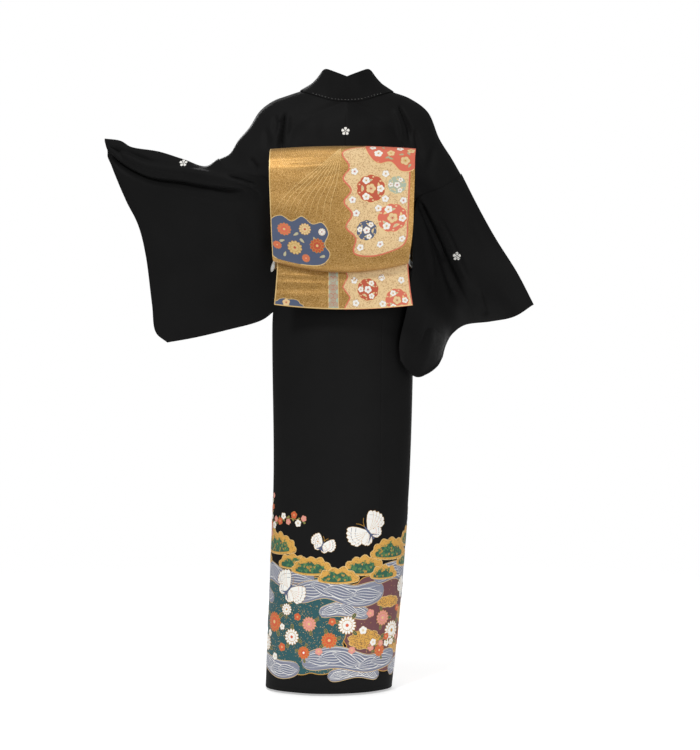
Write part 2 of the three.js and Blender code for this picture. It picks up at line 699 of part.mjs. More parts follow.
function cord() {
  const line = cordLine();
  const halfWidth = CORD.width / 2;
  const halfThick = CORD.thick / 2;
  const corner = [[1, 0], [0.75, 1], [-0.75, 1], [-1, 0], [-0.75, -1], [0.75, -1]];
  const sections = span(CORD.sections).slice(0, -1).map((t) => {
    const middle = line.getPointAt(t);
    const along = line.getTangentAt(t);
    const out = along.clone().cross(new THREE.Vector3(0, 0, 1)).normalize();
    const up = out.clone().cross(along).normalize();
    return corner.map(([across, depth]) => middle.clone()
      .addScaledVector(up, across * halfWidth).addScaledVector(out, depth * halfThick));
  });
  return loop(sections);
}

function knot() {
  const ball = new THREE.SphereGeometry(0.5, 14, 8);
  const at = around(CORD.frontZ, 0.5, obiLift(0.5) + OBI + CORD.air + CORD.thick);
  ball.scale(KNOT.width, KNOT.depth, KNOT.height);
  ball.translate(at.x, at.y - KNOT.depth / 2 - SEAM, at.z);
  return ball;
}

add('obi_cord', cord(), white, 0.6);
add('obi_cord_knot', knot(), white, 0.6);

export default kimono;
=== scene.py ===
import json
import math
import random

import bpy
import numpy as np
from bpy.props import FloatProperty, FloatVectorProperty, PointerProperty
from bpy.types import Operator, Panel, PropertyGroup
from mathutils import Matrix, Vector
from mathutils.bvhtree import BVHTree
from mathutils.geometry import delaunay_2d_cdt

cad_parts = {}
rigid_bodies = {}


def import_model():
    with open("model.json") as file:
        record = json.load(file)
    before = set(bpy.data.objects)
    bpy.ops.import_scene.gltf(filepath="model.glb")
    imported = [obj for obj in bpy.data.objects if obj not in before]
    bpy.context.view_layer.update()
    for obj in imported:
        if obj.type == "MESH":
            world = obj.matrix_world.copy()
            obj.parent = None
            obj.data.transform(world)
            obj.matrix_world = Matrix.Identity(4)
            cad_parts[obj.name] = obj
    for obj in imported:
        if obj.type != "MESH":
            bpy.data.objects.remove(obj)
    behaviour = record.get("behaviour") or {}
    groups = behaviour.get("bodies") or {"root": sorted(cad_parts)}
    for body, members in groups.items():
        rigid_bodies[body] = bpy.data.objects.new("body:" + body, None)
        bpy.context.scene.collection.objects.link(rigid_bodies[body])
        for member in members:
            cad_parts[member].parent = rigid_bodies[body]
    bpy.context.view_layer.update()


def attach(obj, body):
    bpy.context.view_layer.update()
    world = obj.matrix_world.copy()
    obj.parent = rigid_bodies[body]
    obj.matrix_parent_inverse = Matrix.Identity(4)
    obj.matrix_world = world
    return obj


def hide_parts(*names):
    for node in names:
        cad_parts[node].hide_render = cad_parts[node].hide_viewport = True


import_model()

bl_info = {
    "name": "Formal black kimono",
    "version": (1, 0, 0),
    "blender": (4, 5, 0),
    "location": "View3D > Sidebar > Kimono",
    "description": "Builds the worn cloth, its obi and their woven and dyed designs",
    "category": "Add Mesh",
}

MM = 0.001
SHARP = math.radians(50)  # edges that bend more than this are drawn sharp


# ---------------------------------------------------------------- tables, in millimetres
def table(columns, *rows):
    """A short table as one array for each named column; the first column is its key."""
    return {name: np.array([row[k] for row in rows], float)
            for k, name in enumerate(columns.split())}


CLOTH = 1.6
SEAM = 0.3
PLY = 0.4
COLLAR = 2.4
COVER = 1.0
COVER_AIR = 0.8
OBI = 3.0
HEM, TUCK, TUCK_RETURN, SKIRT_TOP = -1305, -455, -402, -378
OBI_TOP, OBI_FOOT = -235, -390
FOOT_Z = -232
NECK_CENTRE = -4
ROUND = 860  # once round the worn waist and skirt
LIFT_BODICE, LIFT_OVER = 4.4, 10.2
LIFT_OBI, LIFT_OBI_FRONT = 6.0, 13.4
UNDER = -(CLOTH + PLY)
ARMPIT, NAPE_AT, TIP = 0.3, 0.6, 0.45

FIGURE = table(
    "z centre half back front twist",
    (-20, -4, 150, 84, 60, 0), (-60, -3, 150, 99, 84, 0), (-100, -2, 150, 108, 100, 0),
    (-150, 0, 149, 113, 111, 0), (-232, 0, 147, 110, 116, 0), (-310, 0, 145, 107, 113, 0),
    (-390, 1, 147, 111, 110, 0), (-455, 3, 153, 119, 111, 0), (-520, 4, 156, 122, 112, 0.009),
    (-843, 7, 150, 118, 108, 0.006), (-1114, 22, 145, 114, 105, -0.008),
    (-1305, 36, 139, 110, 101, -0.02))
BODICE_EDGES = table(
    "z back side seam edge",
    (-455, 0.25, 0.25, 0.475, 0.6), (-390, 0.25, 0.25, 0.475, 0.6),
    (-345, 0.25, 0.25, 0.475, 0.583), (-300, 0.25, 0.25, 0.477, 0.553),
    (-265, 0.225, 0.272, 0.481, 0.53), (-232, 0.19, 0.305, 0.488, 0.508))
SKIRT_EDGES = {
    "skirt_back_left": (-0.1, 0.225), "skirt_front_left": (0.225, 0.5),
    "overlap_left_skirt": (0.5, 0.675), "skirt_back_right": (-0.425, -0.1),
    "skirt_front_right": (-0.7, -0.425), "overlap_right_skirt": (-0.875, -0.7)}
SHOULDER = {
    "left": [(96, 28, -3), (128, 18, -12), (158, 10, -22), (186, 5, -42), (211, 0, -79),
             (235, -5, -106), (254, -8, -135), (278, -10, -147)],
    "right": [(-104, 28, -5), (-142, 15, -17), (-182, 8, -46), (-208, 0, -104),
              (-235, -5, -146), (-255, -10, -180)]}
ARMHOLE = {
    "left": table("x z back front", (277, -152, 8, -26), (260, -174, 36, -52),
                  (212, -188, 62, -74), (170, -200, 76, -86), (157, -226, 64, -72)),
    "right": table("x z back front", (-249, -189, 8, -26), (-236, -200, 26, -42),
                   (-200, -220, 48, -62), (-164, -236, 70, -80), (-154, -244, 62, -70))}
NAPE = [(0, 89, -34)]
NECKLINE = [(31, 86, -31), (62, 75, -21), (86, 54, -11)]
NECK_FRONT = [(104, -12, -13), (100, -44, -42)]
CHEST_LINE = [(81, -98), (48, -150), (16, -200)]
COLLAR_BACK = [(0, 102, 17), (23, 95, 27), (45, 66, 38), (57, 40, 31), (62, 18, 22)]
COLLAR_FRONT = [(63, -20, 6), (54, -56, -32)]
COLLAR_CHEST = [(31, -72), (-2, -122), (-34, -172), (-53, -204), (-79, -246), (-96, -276)]
SLEEVE = {
    "left": {
        "top": [(307, -17, -163), (360, -43, -145), (416, -75, -125), (486, -114, -109),
                (510, -128, -94), (549, -149, -86)],
        "side": {"back": [(160, 4, -300), (156, -34, -345), (153.5, -52, -390),
                          (154, -54, -436)],
                 "front": [(158, -62, -300), (155, -68, -390), (156, -64, -436)]},
        "foot": [(158, -48, -480), (186, -56, -500), (267, -85, -522), (344, -115, -539),
                 (404, -137, -549)],
        "cuff": {"back": [(532, -128, -139), (500, -122, -221), (468, -130, -287),
                          (454, -147, -350)],
                 "front": [(536, -170, -139), (504, -180, -221), (470, -168, -287),
                           (454, -149, -350)]},
        "seam": [(440, -148, -462), (431, -145, -526)]},
    "right": {
        "top": [(-298, -15, -264), (-334, -19, -328), (-379, -24, -398), (-416, -28, -468)],
        "side": {"back": [(-144.5, 100, -310), (-144, 110, -350), (-143, 117, -390),
                          (-139, 109, -430), (-133, 95, -477), (-116, 98, -556)],
                 "front": [(-172, -20, -330), (-172, 20, -430), (-150, 70, -520)]},
        "foot": [(-118, 100, -590), (-130, 98, -608), (-153, 80, -627), (-176, 40, -622),
                 (-203, -20, -604), (-217, -66, -583)],
        "cuff": {"back": [(-381, -44, -491), (-330, -112, -501), (-272, -158, -508)],
                 "front": [(-388, -84, -484), (-340, -150, -492), (-274, -168, -506)]},
        "seam": [(-244, -140, -528), (-226, -100, -556)]}}
HUNG_COLUMNS = "y z left right bow sag"
DRUM = table(
    HUNG_COLUMNS,
    (119.6, -262, 148, -142, 0, 0), (120, -190, 150, -146, 0, 0), (129, -156, 154, -148, 2, -3),
    (150, -140, 156, -150, 6, -5), (176, -145, 158, -149, 10, -4), (193, -166, 159, -147, 13, -2),
    (201, -210, 159, -146, 14, 0), (205, -270, 157, -144, 15, 4), (204, -330, 155, -142, 15, 12),
    (198, -380, 153, -137, 13, 22), (188, -403, 152, -134, 11, 24), (176, -408, 151, -133, 9, 24),
    (167.5, -398, 150, -133, 8, 22), (166, -370, 149, -133, 8, 12), (166, -322, 148, -133, 8, 0))
TAIL = table(
    HUNG_COLUMNS,
    (165.2, -320, 144, -133, 8, 0), (165.2, -370, 143, -133, 8, 4), (166, -410, 144, -134, 9, 8),
    (168, -450, 147, -138, 11, 8), (168, -485, 150, -143, 12, 10))
HAND = table(HUNG_COLUMNS, (173.2, -282, 143, -129, 8, 0), (173.2, -376, 143, -129, 8, 14))
BOW_SPAN = 150
CORD_WIDTH, CORD_THICK, CORD_AIR = 12, 5, 1.2
CORD_SIDE_Z, CORD_FRONT_Z = -389, -314
CORD_IN_DRUM = [
    (151.5, 108, -387), (150.5, 138, -384), (150, 157, -377), (146, 169.5, -366), (120, 173, -363),
    (60, 176, -362), (0, 178, -362), (-60, 176, -362), (-108, 175, -363), (-129, 173, -366),
    (-135, 166, -369), (-134.6, 152, -372), (-134.4, 134, -375), (-136, 108, -379)]

# Creases. Each is a line of (x, z), half width at its two ends, depth inwards in the
# middle (negative is a ridge) and how far it fades in at its start and out at its end.
BACK_CREASES = [
    ([(133, -50), (137, -94), (142, -133), (150, -175)], 4, 7, 11, 0.15, 0.3),
    ([(121, -52), (124, -94), (128, -140)], 6, 8, -5.7, 0.2, 0.4),
    ([(152, -56), (151, -80), (154, -108)], 6, 9, 4.6, 0.3, 0.4),
    ([(172, -80), (170, -110), (168, -140)], 8, 11, 4.2, 0.4, 0.4),
    ([(206, -150), (197, -166), (186, -178)], 5, 6, 4.8, 0.3, 0.3),
    ([(-117, -36), (-130, -66), (-139, -90), (-143, -135)], 4, 7, 10.5, 0.15, 0.3),
    ([(-105, -44), (-118, -84), (-124, -132)], 6, 8, -4.9, 0.2, 0.4),
    ([(-150, -88), (-157, -120), (-167, -160)], 6, 9, 5.7, 0.25, 0.35),
    ([(-196, -110), (-190, -150), (-176, -190)], 9, 12, 4.2, 0.4, 0.4),
    ([(60, -60), (64, -100), (62, -140)], 16, 20, 2.3, 0.4, 0.4),
    ([(-58, -64), (-66, -104), (-64, -140)], 16, 20, 1.9, 0.4, 0.4)]
FRONT_CREASES = [
    ([(112, -40), (118, -90), (120, -140), (110, -200)], 9, 12, 4.4, 0.3, 0.3),
    ([(160, -70), (150, -120), (138, -180)], 8, 12, 3.6, 0.3, 0.3),
    ([(196, -130), (172, -160), (150, -190)], 7, 9, 3.4, 0.3, 0.3),
    ([(-118, -46), (-124, -96), (-126, -146), (-116, -205)], 9, 12, 4.2, 0.3, 0.3),
    ([(-166, -80), (-158, -130), (-142, -196)], 8, 12, 3.4, 0.3, 0.3),
    ([(-214, -150), (-186, -190), (-162, -215)], 7, 10, 3.1, 0.3, 0.3)]
LEFT_SLEEVE_CREASES = [
    ([(545, -104), (526, -133), (487, -163), (439, -186), (368, -201), (320, -213), (272, -223),
      (226, -227), (180, -226)], 6, 13, 17, 0.1, 0.25),
    ([(520, -112), (470, -142), (410, -164), (340, -178), (280, -190), (230, -196)],
     8, 12, -9.5, 0.2, 0.3),
    ([(536, -106), (487, -122), (439, -145), (405, -160)], 6, 10, 5.1, 0.15, 0.5),
    ([(545, -112), (536, -140), (516, -176), (500, -215)], 4, 9, 4.8, 0.1, 0.5),
    ([(540, -100), (516, -116), (494, -138)], 3, 6, 3.9, 0.15, 0.4),
    ([(528, -150), (506, -200), (480, -262), (462, -320)], 10, 14, 3.0, 0.3, 0.5),
    ([(262, -188), (226, -199), (186, -214)], 4, 6, 6.5, 0.3, 0.2),
    ([(246, -206), (214, -216), (180, -240)], 4, 7, 5, 0.3, 0.2),
    ([(240, -240), (215, -300), (204, -380)], 14, 22, 4.5, 0.3, 0.5),
    ([(350, -240), (330, -330), (322, -430)], 26, 40, 4.5, 0.4, 0.5),
    ([(430, -230), (412, -330), (398, -440)], 22, 36, -3.6, 0.4, 0.5)]
RIGHT_SLEEVE_CREASES = [
    ([(-160, -246), (-178, -278), (-198, -318), (-216, -362), (-240, -420), (-262, -474)],
     5, 17, 15.6, 0.12, 0.2),
    ([(-150, -258), (-170, -312), (-184, -370), (-196, -440)], 5, 9, -5.4, 0.15, 0.35),
    ([(-196, -272), (-228, -326), (-256, -380), (-292, -440)], 6, 12, -6.6, 0.2, 0.3),
    ([(-296, -424), (-309, -458), (-320, -492)], 6, 9, 4.1, 0.4, 0.2),
    ([(-250, -240), (-290, -310), (-330, -380), (-352, -440)], 14, 20, 2.9, 0.35, 0.4),
    ([(-166, -470), (-176, -520), (-184, -570)], 12, 14, 2.0, 0.4, 0.35)]


# ---------------------------------------------------------------- curves and surfaces
def mix(a, b, t):
    return a + (b - a) * t


def ease(start, end, at):
    t = np.clip((np.asarray(at, float) - start) / (end - start), 0, 1)
    return t * t * (3 - 2 * t)


def cubic(p, d, m, n, t):
    """From p to p + d, with slopes m and n at the ends."""
    return p + m * t + (3 * d - 2 * m - n) * t ** 2 + (m + n - 2 * d) * t ** 3


def read(rows, at):
    """Every column of a table between its rows, smoothly, at values of its key."""
    key = next(iter(rows.values()))
    order = np.argsort(key)
    key = key[order]
    at = np.asarray(at, float)
    i = np.clip(np.searchsorted(key, at, side="right") - 1, 0, len(key) - 2)
    width = key[i + 1] - key[i]
    t = np.clip((at - key[i]) / width, 0, 1)
    rank = np.arange(len(key))
    before, after = np.maximum(rank - 1, 0), np.minimum(rank + 1, len(key) - 1)
    found = {}
    for name, column in rows.items():
        value = column[order]
        slope = (value[after] - value[before]) / (key[after] - key[before])
        found[name] = cubic(value[i], value[i + 1] - value[i], slope[i] * width,
                            slope[i + 1] * width, t)
    return found


class Line:
    """A smooth curve through points; `at` reads it by its share of the length."""

    def __init__(self, points, closed=False, measured=3):
        p = np.array(points, float)
        ends = (p[-1:], p[:2]) if closed else (2 * p[:1] - p[1:2], 2 * p[-1:] - p[-2:-1])
        p = np.vstack([ends[0], p, ends[1]])
        step = np.sqrt(np.linalg.norm(np.diff(p[:, :measured], axis=0), axis=1))
        t = np.linspace(0, 1, 49)[:, None]
        parts = []
        for k in range(1, len(p) - 2):
            a, b, c = step[k - 1:k + 2]
            d = p[k + 1] - p[k]
            m = ((p[k] - p[k - 1]) / a - (p[k + 1] - p[k - 1]) / (a + b) + d / b) * b
            n = (d / b - (p[k + 2] - p[k]) / (b + c) + (p[k + 2] - p[k + 1]) / c) * b
            parts.append(cubic(p[k], d, m, n, t)[:-1])
        self.points = np.vstack(parts + [p[-2:-1]])
        steps = np.linalg.norm(np.diff(self.points[:, :measured], axis=0), axis=1)
        run = np.concatenate([[0], np.cumsum(steps)])
        self.length = run[-1]
        self.run = run / run[-1]

    def at(self, share):
        share = np.asarray(share, float)
        columns = [np.interp(share, self.run, column) for column in self.points.T]
        return np.stack(columns, axis=-1)


def around(z, f, lift):
    """A point on the figure at height z and part of a turn f from the middle of the back."""
    z, f, lift = np.broadcast_arrays(*(np.asarray(v, float) for v in (z, f, lift)))
    row = read(FIGURE, z)
    angle = 2 * np.pi * (f + row["twist"])
    depth = np.where(np.cos(angle) > 0, row["back"], row["front"])
    x = row["centre"] + (row["half"] + lift) * np.sin(angle)
    return np.stack([x, (depth + lift) * np.cos(angle), z], axis=-1)


def depth_at(x, z, lift, way):
    """How far behind (way 1) or in front (-1) the figure's surface lies at x and z."""
    row = read(FIGURE, z)
    reach = (row["back"] if way > 0 else row["front"]) + lift
    part = (x - row["centre"]) / (row["half"] + lift)
    return way * reach * np.sqrt(np.maximum(0.05, 1 - part * part))


def patch(foot, top, inner, outer):
    """A smooth patch through four edges; rows are read at one v for many u."""
    corner = [foot(0.0), foot(1.0), top(0.0), top(1.0)]

    def row(u, v):
        u = np.asarray(u, float)
        s = u[:, None]
        return (foot(u) * (1 - v) + top(u) * v + inner(v) * (1 - s) + outer(v) * s
                - corner[0] * (1 - s) * (1 - v) - corner[1] * s * (1 - v)
                - corner[2] * (1 - s) * v - corner[3] * s * v)
    return row


def facing(grid):
    """Unit normals of a grid's points, and how much its cells lean from them."""
    p, q, r, s = grid[:-1, :-1], grid[1:, 1:], grid[1:, :-1], grid[:-1, 1:]
    cell = np.cross(q - p, s - r)
    cell /= np.linalg.norm(cell, axis=2, keepdims=True) + 1e-12
    rows, cols = grid.shape[:2]
    total = np.zeros((rows, cols, 3))
    count = np.zeros((rows, cols, 1))
    for i in (0, 1):
        for j in (0, 1):
            total[i:rows - 1 + i, j:cols - 1 + j] += cell
            count[i:rows - 1 + i, j:cols - 1 + j] += 1
    size = np.linalg.norm(total, axis=2, keepdims=True) + 1e-12
    return total / size, np.maximum(size / count, 0.6)


def moved(grid, distance):
    """A grid set off by an even distance."""
    normal, lean = facing(grid)
    return grid + normal * (distance / lean)


def crease(grid, creases, outward):
    """Presses creases into a sheet whose outer side is its normals times outward."""
    depth = np.zeros(grid.shape[:2])
    flat = grid[:, :, [0, 2]]
    for points, wide0, wide1, deep, fade0, fade1 in creases:
        line = Line([(x, 0, z) for x, z in points]).points[::6][:, [0, 2]]
        best = np.full(depth.shape, 1e9)
        along = np.zeros(depth.shape)
        for k in range(len(line) - 1):
            a, d = line[k], line[k + 1] - line[k]
            t = np.clip(((flat - a) @ d) / (d @ d), 0, 1)
            gap = np.linalg.norm(flat - a - t[..., None] * d, axis=2)
            near = gap < best
            best = np.where(near, gap, best)
            along = np.where(near, (k + t) / (len(line) - 1), along)
        across = best / mix(wide0, wide1, along)
        shape = (1 - 0.55 * across ** 2) * np.exp(-across ** 2)
        depth += deep * shape * ease(0, fade0, along) * ease(1, 1 - fade1, along)
    normal, _ = facing(grid)
    return grid - normal * (outward * depth)[..., None]


# ---------------------------------------------------------------- meshes and materials
def colour(code):
    """A hexadecimal display colour as linear values."""
    parts = [int(code[k:k + 2], 16) / 255 for k in (1, 3, 5)]
    return tuple(c / 12.92 if c < 0.04045 else ((c + 0.055) / 1.055) ** 2.4 for c in parts)


class Value:
    """A shader number; sums and products on it add the Math nodes."""

    def __init__(self, shader, socket):
        self.shader, self.socket = shader, socket

    def _with(self, operation, first, second):
        return self.shader.node("Math", {"operation": operation}, {0: first, 1: second})

    def __add__(self, other):
        return self._with("ADD", self, other)

    def __sub__(self, other):
        return self._with("SUBTRACT", self, other)

    def __rsub__(self, other):
        return self._with("SUBTRACT", other, self)

    def __mul__(self, other):
        return self._with("MULTIPLY", self, other)

    __radd__ = __add__
    __rmul__ = __mul__


class Shader:
    """One material; `node` adds a node with its settings first, then its sockets."""

    def __init__(self, name, **constants):
        self.material = bpy.data.materials.new(name)
        self.material.use_nodes = True
        tree = self.material.node_tree
        self.nodes, self.links = tree.nodes, tree.links
        self.surface = self.nodes["Principled BSDF"]
        for socket, value in constants.items():
            self.socket(socket).default_value = value

    def socket(self, name):
        return self.surface.inputs[name.replace("_", " ").title().replace("Ior", "IOR")]

    def feed(self, socket, value):
        if isinstance(value, Value):
            self.links.new(value.socket, socket)
        else:
            socket.default_value = value

    def node(self, kind, settings=None, sockets=None, out=0):
        made = self.nodes.new("ShaderNode" + kind)
        for name, value in (settings or {}).items():
            if name == "stops":
                ramp = made.color_ramp.elements
                while len(ramp) < len(value):
                    ramp.new(1)
                for stop, (place, shade) in zip(ramp, value):
                    stop.position, stop.color = place, (*shade, 1)
            else:
                setattr(made, name, value)
        for name, value in (sockets or {}).items():
            self.feed(made.inputs[name], value)
        return Value(self, made.outputs[out])

    def place(self, stretch=(1, 1, 1)):
        """The object's own coordinates in metres, stretched."""
        at = self.node("TexCoord", out=3)
        return self.node("VectorMath", {"operation": "MULTIPLY"}, {0: at, 1: stretch})

    def blend(self, share, first, second):
        return self.node("Mix", {"data_type": "RGBA"}, {0: share, 6: first, 7: second}, out=2)

    def finish(self, **varying):
        for socket, value in varying.items():
            self.feed(self.socket(socket), value)
        return self.material


def add_mesh(name, points, faces, materials, picks=None, replaces=(), slot=None):
    """A piece from points in millimetres, on the part's one body."""
    mesh = bpy.data.meshes.new(name)
    mesh.from_pydata((np.asarray(points, float) * MM).tolist(), [], faces)
    for material in materials:
        mesh.materials.append(material)
    if picks is not None:
        mesh.polygons.foreach_set("material_index", picks)
    mesh.polygons.foreach_set("use_smooth", [True] * len(mesh.polygons))
    mesh.update()
    mesh.set_sharp_from_angle(angle=SHARP)
    piece = bpy.data.objects.new(name, mesh)
    bpy.context.scene.collection.objects.link(piece)
    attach(piece, "root")
    if replaces:
        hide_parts(*replaces)
    return piece


def cells(rows, cols, closed=(False, False)):
    """Faces between a grid's points, which may close on itself along either side."""
    i, j = np.meshgrid(np.arange(rows if closed[0] else rows - 1),
                       np.arange(cols if closed[1] else cols - 1), indexing="ij")
    i, j = i.ravel(), j.ravel()
    n, k = (i + 1) % rows, (j + 1) % cols
    return np.stack([i * cols + j, n * cols + j, n * cols + k, i * cols + k], 1)


def wall_faces(rows, cols, closed=False):
    """Faces of a closed wall: an outer grid, an inner grid of the same size, and four rims."""
    layer = rows * cols
    front = cells(rows, cols, (False, closed))
    faces = [front, front[:, ::-1] + layer]
    for row, way in ((0, 1), (rows - 1, -1)):
        j = np.arange(cols if closed else cols - 1)
        a, b = row * cols + j, row * cols + (j + 1) % cols
        faces.append(np.stack([a, b, b + layer, a + layer], 1)[:, ::way])
    if not closed:
        for col, way in ((0, -1), (cols - 1, 1)):
            i = np.arange(rows - 1)
            a, b = i * cols + col, (i + 1) * cols + col
            faces.append(np.stack([a, b, b + layer, a + layer], 1)[:, ::way])
    return np.vstack(faces)


def add_wall(name, outer, inner, material, closed=False, **facts):
    """A wall of cloth between two grids, turned outwards."""
    points = np.vstack([outer.reshape(-1, 3), inner.reshape(-1, 3)])
    faces = wall_faces(*outer.shape[:2], closed)
    a, b, c, d = (points[faces[:, k]] for k in range(4))
    volume = np.einsum("ij,ij->i", a, np.cross(b, c) + np.cross(c, d)).sum()
    if volume < 0:
        faces = faces[:, ::-1]
    return add_mesh(name + "_cloth", points, faces.tolist(), [material], replaces=(name,),
                    **facts)


_finish = {}


def finish_of(name):
    """A finish by its name, made the first time it is asked for."""
    if name not in _finish:
        _finish[name] = FINISHES[name](name) if name in FINISHES else dyed(name)
    return _finish[name]


def crepe(name):
    """Black crepe silk: a fine pebbled grain, with a paler colour blended in at random blotches as
    a painted sheen.
    """
    s = Shader(name, specular_ior_level=0.04)
    grain = s.node("TexNoise", sockets={"Vector": s.place(), "Scale": 900.0, "Detail": 2.0})
    cloudy = s.node("TexNoise", sockets={"Vector": s.place(), "Scale": 14.0, "Detail": 3.0})
    deep, pale = bpy.context.scene.kimono.silk, bpy.context.scene.kimono.silk_painted_sheen
    # The paler silk colour is a painted sheen, blended in at random blotches by the two noises.
    base = s.blend(cloudy * 0.6 + grain * 0.4, (*deep, 1), (*pale, 1))
    bump = s.node("Bump", sockets={"Height": grain, "Strength": 0.3, "Distance": 0.0004})
    return s.finish(base_color=base, roughness=0.5 + grain * 0.16, normal=bump)


def brocade(name):
    """Gold brocade: twilled flat gold thread that catches the light unevenly."""
    s = Shader(name, sheen_weight=0.06, specular_ior_level=0.5)
    at = s.place()
    twill = s.node("TexWave", {"bands_direction": "DIAGONAL"},
                   {"Vector": at, "Scale": 190.0, "Distortion": 2.0, "Detail": 1.0})
    thread = s.node("TexNoise", sockets={"Vector": s.place((700, 700, 420)), "Scale": 1.0,
                                         "Detail": 3.0})
    cloudy = s.node("TexNoise", sockets={"Vector": at, "Scale": 22.0, "Detail": 2.0})
    share = thread * 0.8 + twill * 0.12 + cloudy * 0.1
    shades = [(0.32, colour("#7a5528")), (0.5, tuple(bpy.context.scene.obi.gold)),
              (0.7, colour("#d8b176"))]
    ramp = s.node("ValToRGB", {"stops": shades}, {0: share})
    bump = s.node("Bump", sockets={"Height": thread + twill * 0.4, "Strength": 0.35,
                                   "Distance": 0.0003})
    return s.finish(base_color=ramp, metallic=0.55, roughness=0.36 + thread * 0.16, normal=bump)


def braid(name):
    """White braid: a herringbone of plaited silk."""
    s = Shader(name, roughness=0.55, sheen_weight=0.3)
    plait = s.node("TexWave", {"bands_direction": "DIAGONAL"},
                   {"Vector": s.place(), "Scale": 120.0, "Distortion": 0.5})
    tone = s.blend(plait, (*colour("#d8d4c8"), 1), (*colour("#f6f4ee"), 1))
    bump = s.node("Bump", sockets={"Height": plait, "Strength": 0.6, "Distance": 0.001})
    return s.finish(base_color=tone, normal=bump)


def dyed(name):
    """A plain dyed or woven colour of the designs."""
    code, rough, metal = PALETTE[name]
    s = Shader("dye_" + name, roughness=rough, metallic=metal, sheen_weight=0.08)
    return s.finish(base_color=(*colour(code), 1))


FINISHES = {"crepe": crepe, "brocade": brocade, "braid": braid}
PALETTE = {  # colour, roughness, metal
    "gold": ("#c9973f", 0.42, 0.35), "pale_gold": ("#e3c283", 0.42, 0.3),
    "ochre": ("#d6a145", 0.6, 0), "deep_green": ("#1c5a42", 0.65, 0),
    "leaf_green": ("#4f7f4a", 0.65, 0), "lavender": ("#818596", 0.65, 0),
    "slate": ("#4c5674", 0.6, 0), "teal": ("#135056", 0.65, 0),
    "mauve": ("#6a3c41", 0.65, 0), "white": ("#f1efe9", 0.6, 0),
    "vermilion": ("#d2572d", 0.6, 0), "pink": ("#e2938a", 0.6, 0),
    "branch": ("#a67d5c", 0.65, 0), "coral": ("#d8694f", 0.5, 0),
    "rust": ("#bd4f2f", 0.5, 0.05), "cream": ("#e4c592", 0.5, 0.1),
    "slate_blue": ("#4a5670", 0.5, 0.05), "mist_green": ("#a9b59f", 0.5, 0.05),
    "brown": ("#8a6238", 0.5, 0.05), "tan": ("#b98a5a", 0.5, 0.05),
    "thread": ("#82827f", 0.6, 0)}


# ---------------------------------------------------------------- the worn cloth
def sign(side):
    return 1 if side == "left" else -1


def from_neck(side, points):
    return [(NECK_CENTRE + sign(side) * x, y, z) for x, y, z in points]


def over_lift(side, f):
    """Height of a body panel off the figure: the left one lies over the right in front."""
    high = LIFT_OVER if side == "left" else LIFT_BODICE
    return mix(LIFT_BODICE, high, ease(0.3, 0.375, f))


def chest_lift(side, x, z):
    """The same at a place on the chest, closer to the figure towards the neck."""
    row = read(FIGURE, z)
    part = np.clip(sign(side) * (x - row["centre"]) / row["half"], 0, 1)
    lift = over_lift(side, 0.5 - np.arcsin(part) / (2 * np.pi))
    return mix(2, lift, ease(-50, -105, z))


def on_chest(side, points):
    placed = []
    for x, z in points:
        x = NECK_CENTRE + sign(side) * x
        placed.append((x, float(depth_at(x, z, chest_lift(side, x, z), -1)), z))
    return placed


def joined(first, second, at):
    """Two lines read as one, which meet at a share of it."""
    return lambda v: first.at(v / at) if v < at else second.at((v - at) / (1 - at))


FOOT_EDGES = {name: float(column[-1]) for name, column in BODICE_EDGES.items()}


def bodice_patches(side):
    """Row readers for the back and front above the obi, and the armhole's lines."""
    top = Line(SHOULDER[side]).at

    def foot(start, end):
        return lambda u: around(FOOT_Z, sign(side) * mix(start, end, u),
                                over_lift(side, mix(start, end, u)))

    arm = {}
    for way in ("back", "front"):
        rows = ARMHOLE[side]
        line = np.stack([rows["x"], rows[way], rows["z"]], 1)[::-1]
        arm[way] = Line(np.vstack([line, top(1.0)]))

    def slit(start, line):
        return Line([start, (start + line.at(0)) / 2, line.at(0)])

    def settle(rows, way):
        near = ease(118, 70, np.abs(rows[:, 0])) * ease(-62, -95, rows[:, 2])
        lift = LIFT_BODICE if way > 0 else chest_lift(side, rows[:, 0], rows[:, 2])
        rows[:, 1] = mix(rows[:, 1], depth_at(rows[:, 0], rows[:, 2], lift, way), near)
        return rows

    back_foot = foot(0, FOOT_EDGES["back"])
    nape = from_neck(side, NAPE)[0]
    spine = Line([tuple(around(z, 0, LIFT_BODICE)) for z in (FOOT_Z, -170, -110, -64)] + [nape])
    neckline = Line([nape] + from_neck(side, NECKLINE) + [tuple(top(0))])
    outer = joined(slit(back_foot(1.0), arm["back"]), arm["back"], ARMPIT)
    back = patch(back_foot, top, joined(spine, neckline, NAPE_AT), outer)
    front_foot = foot(FOOT_EDGES["edge"], FOOT_EDGES["side"])
    line = Line([tuple(front_foot(0.0))] + on_chest(side, CHEST_LINE)[::-1]
                + from_neck(side, NECK_FRONT)[::-1] + [tuple(top(0))])
    outer = joined(slit(front_foot(1.0), arm["front"]), arm["front"], ARMPIT)
    front = patch(front_foot, top, line.at, outer)
    return {"back": lambda u, v: settle(back(u, v), 1),
            "front": lambda u, v: settle(front(u, v), -1), "arm": arm, "top": top}


PATCHES = {side: bodice_patches(side) for side in ("left", "right")}
HALF_SEAM = 0.02 / ROUND
OVERLAP_SEAM = 0.0008  # a seam's width as a share of the front's
TIP_SHARE = 0.03
ROLL, ROLL_IN = 1.8, 0.2  # outer and inner radius of the tuck's rolled fold
SPINE_GROOVE = np.array([0.9, 0.3])  # how deep the seam at the spine and the row by it lie


def overlap_share(v):
    """How much of the front's width the overlap panel takes, which tapers to its tip."""
    if v > NAPE_AT:
        return 0.0
    if v > TIP:
        return mix(TIP_SHARE, 0, (v - TIP) / (NAPE_AT - TIP))
    edge, seam, side = (FOOT_EDGES[name] for name in ("edge", "seam", "side"))
    return mix((edge - seam) / (edge - side), TIP_SHARE, v / TIP)


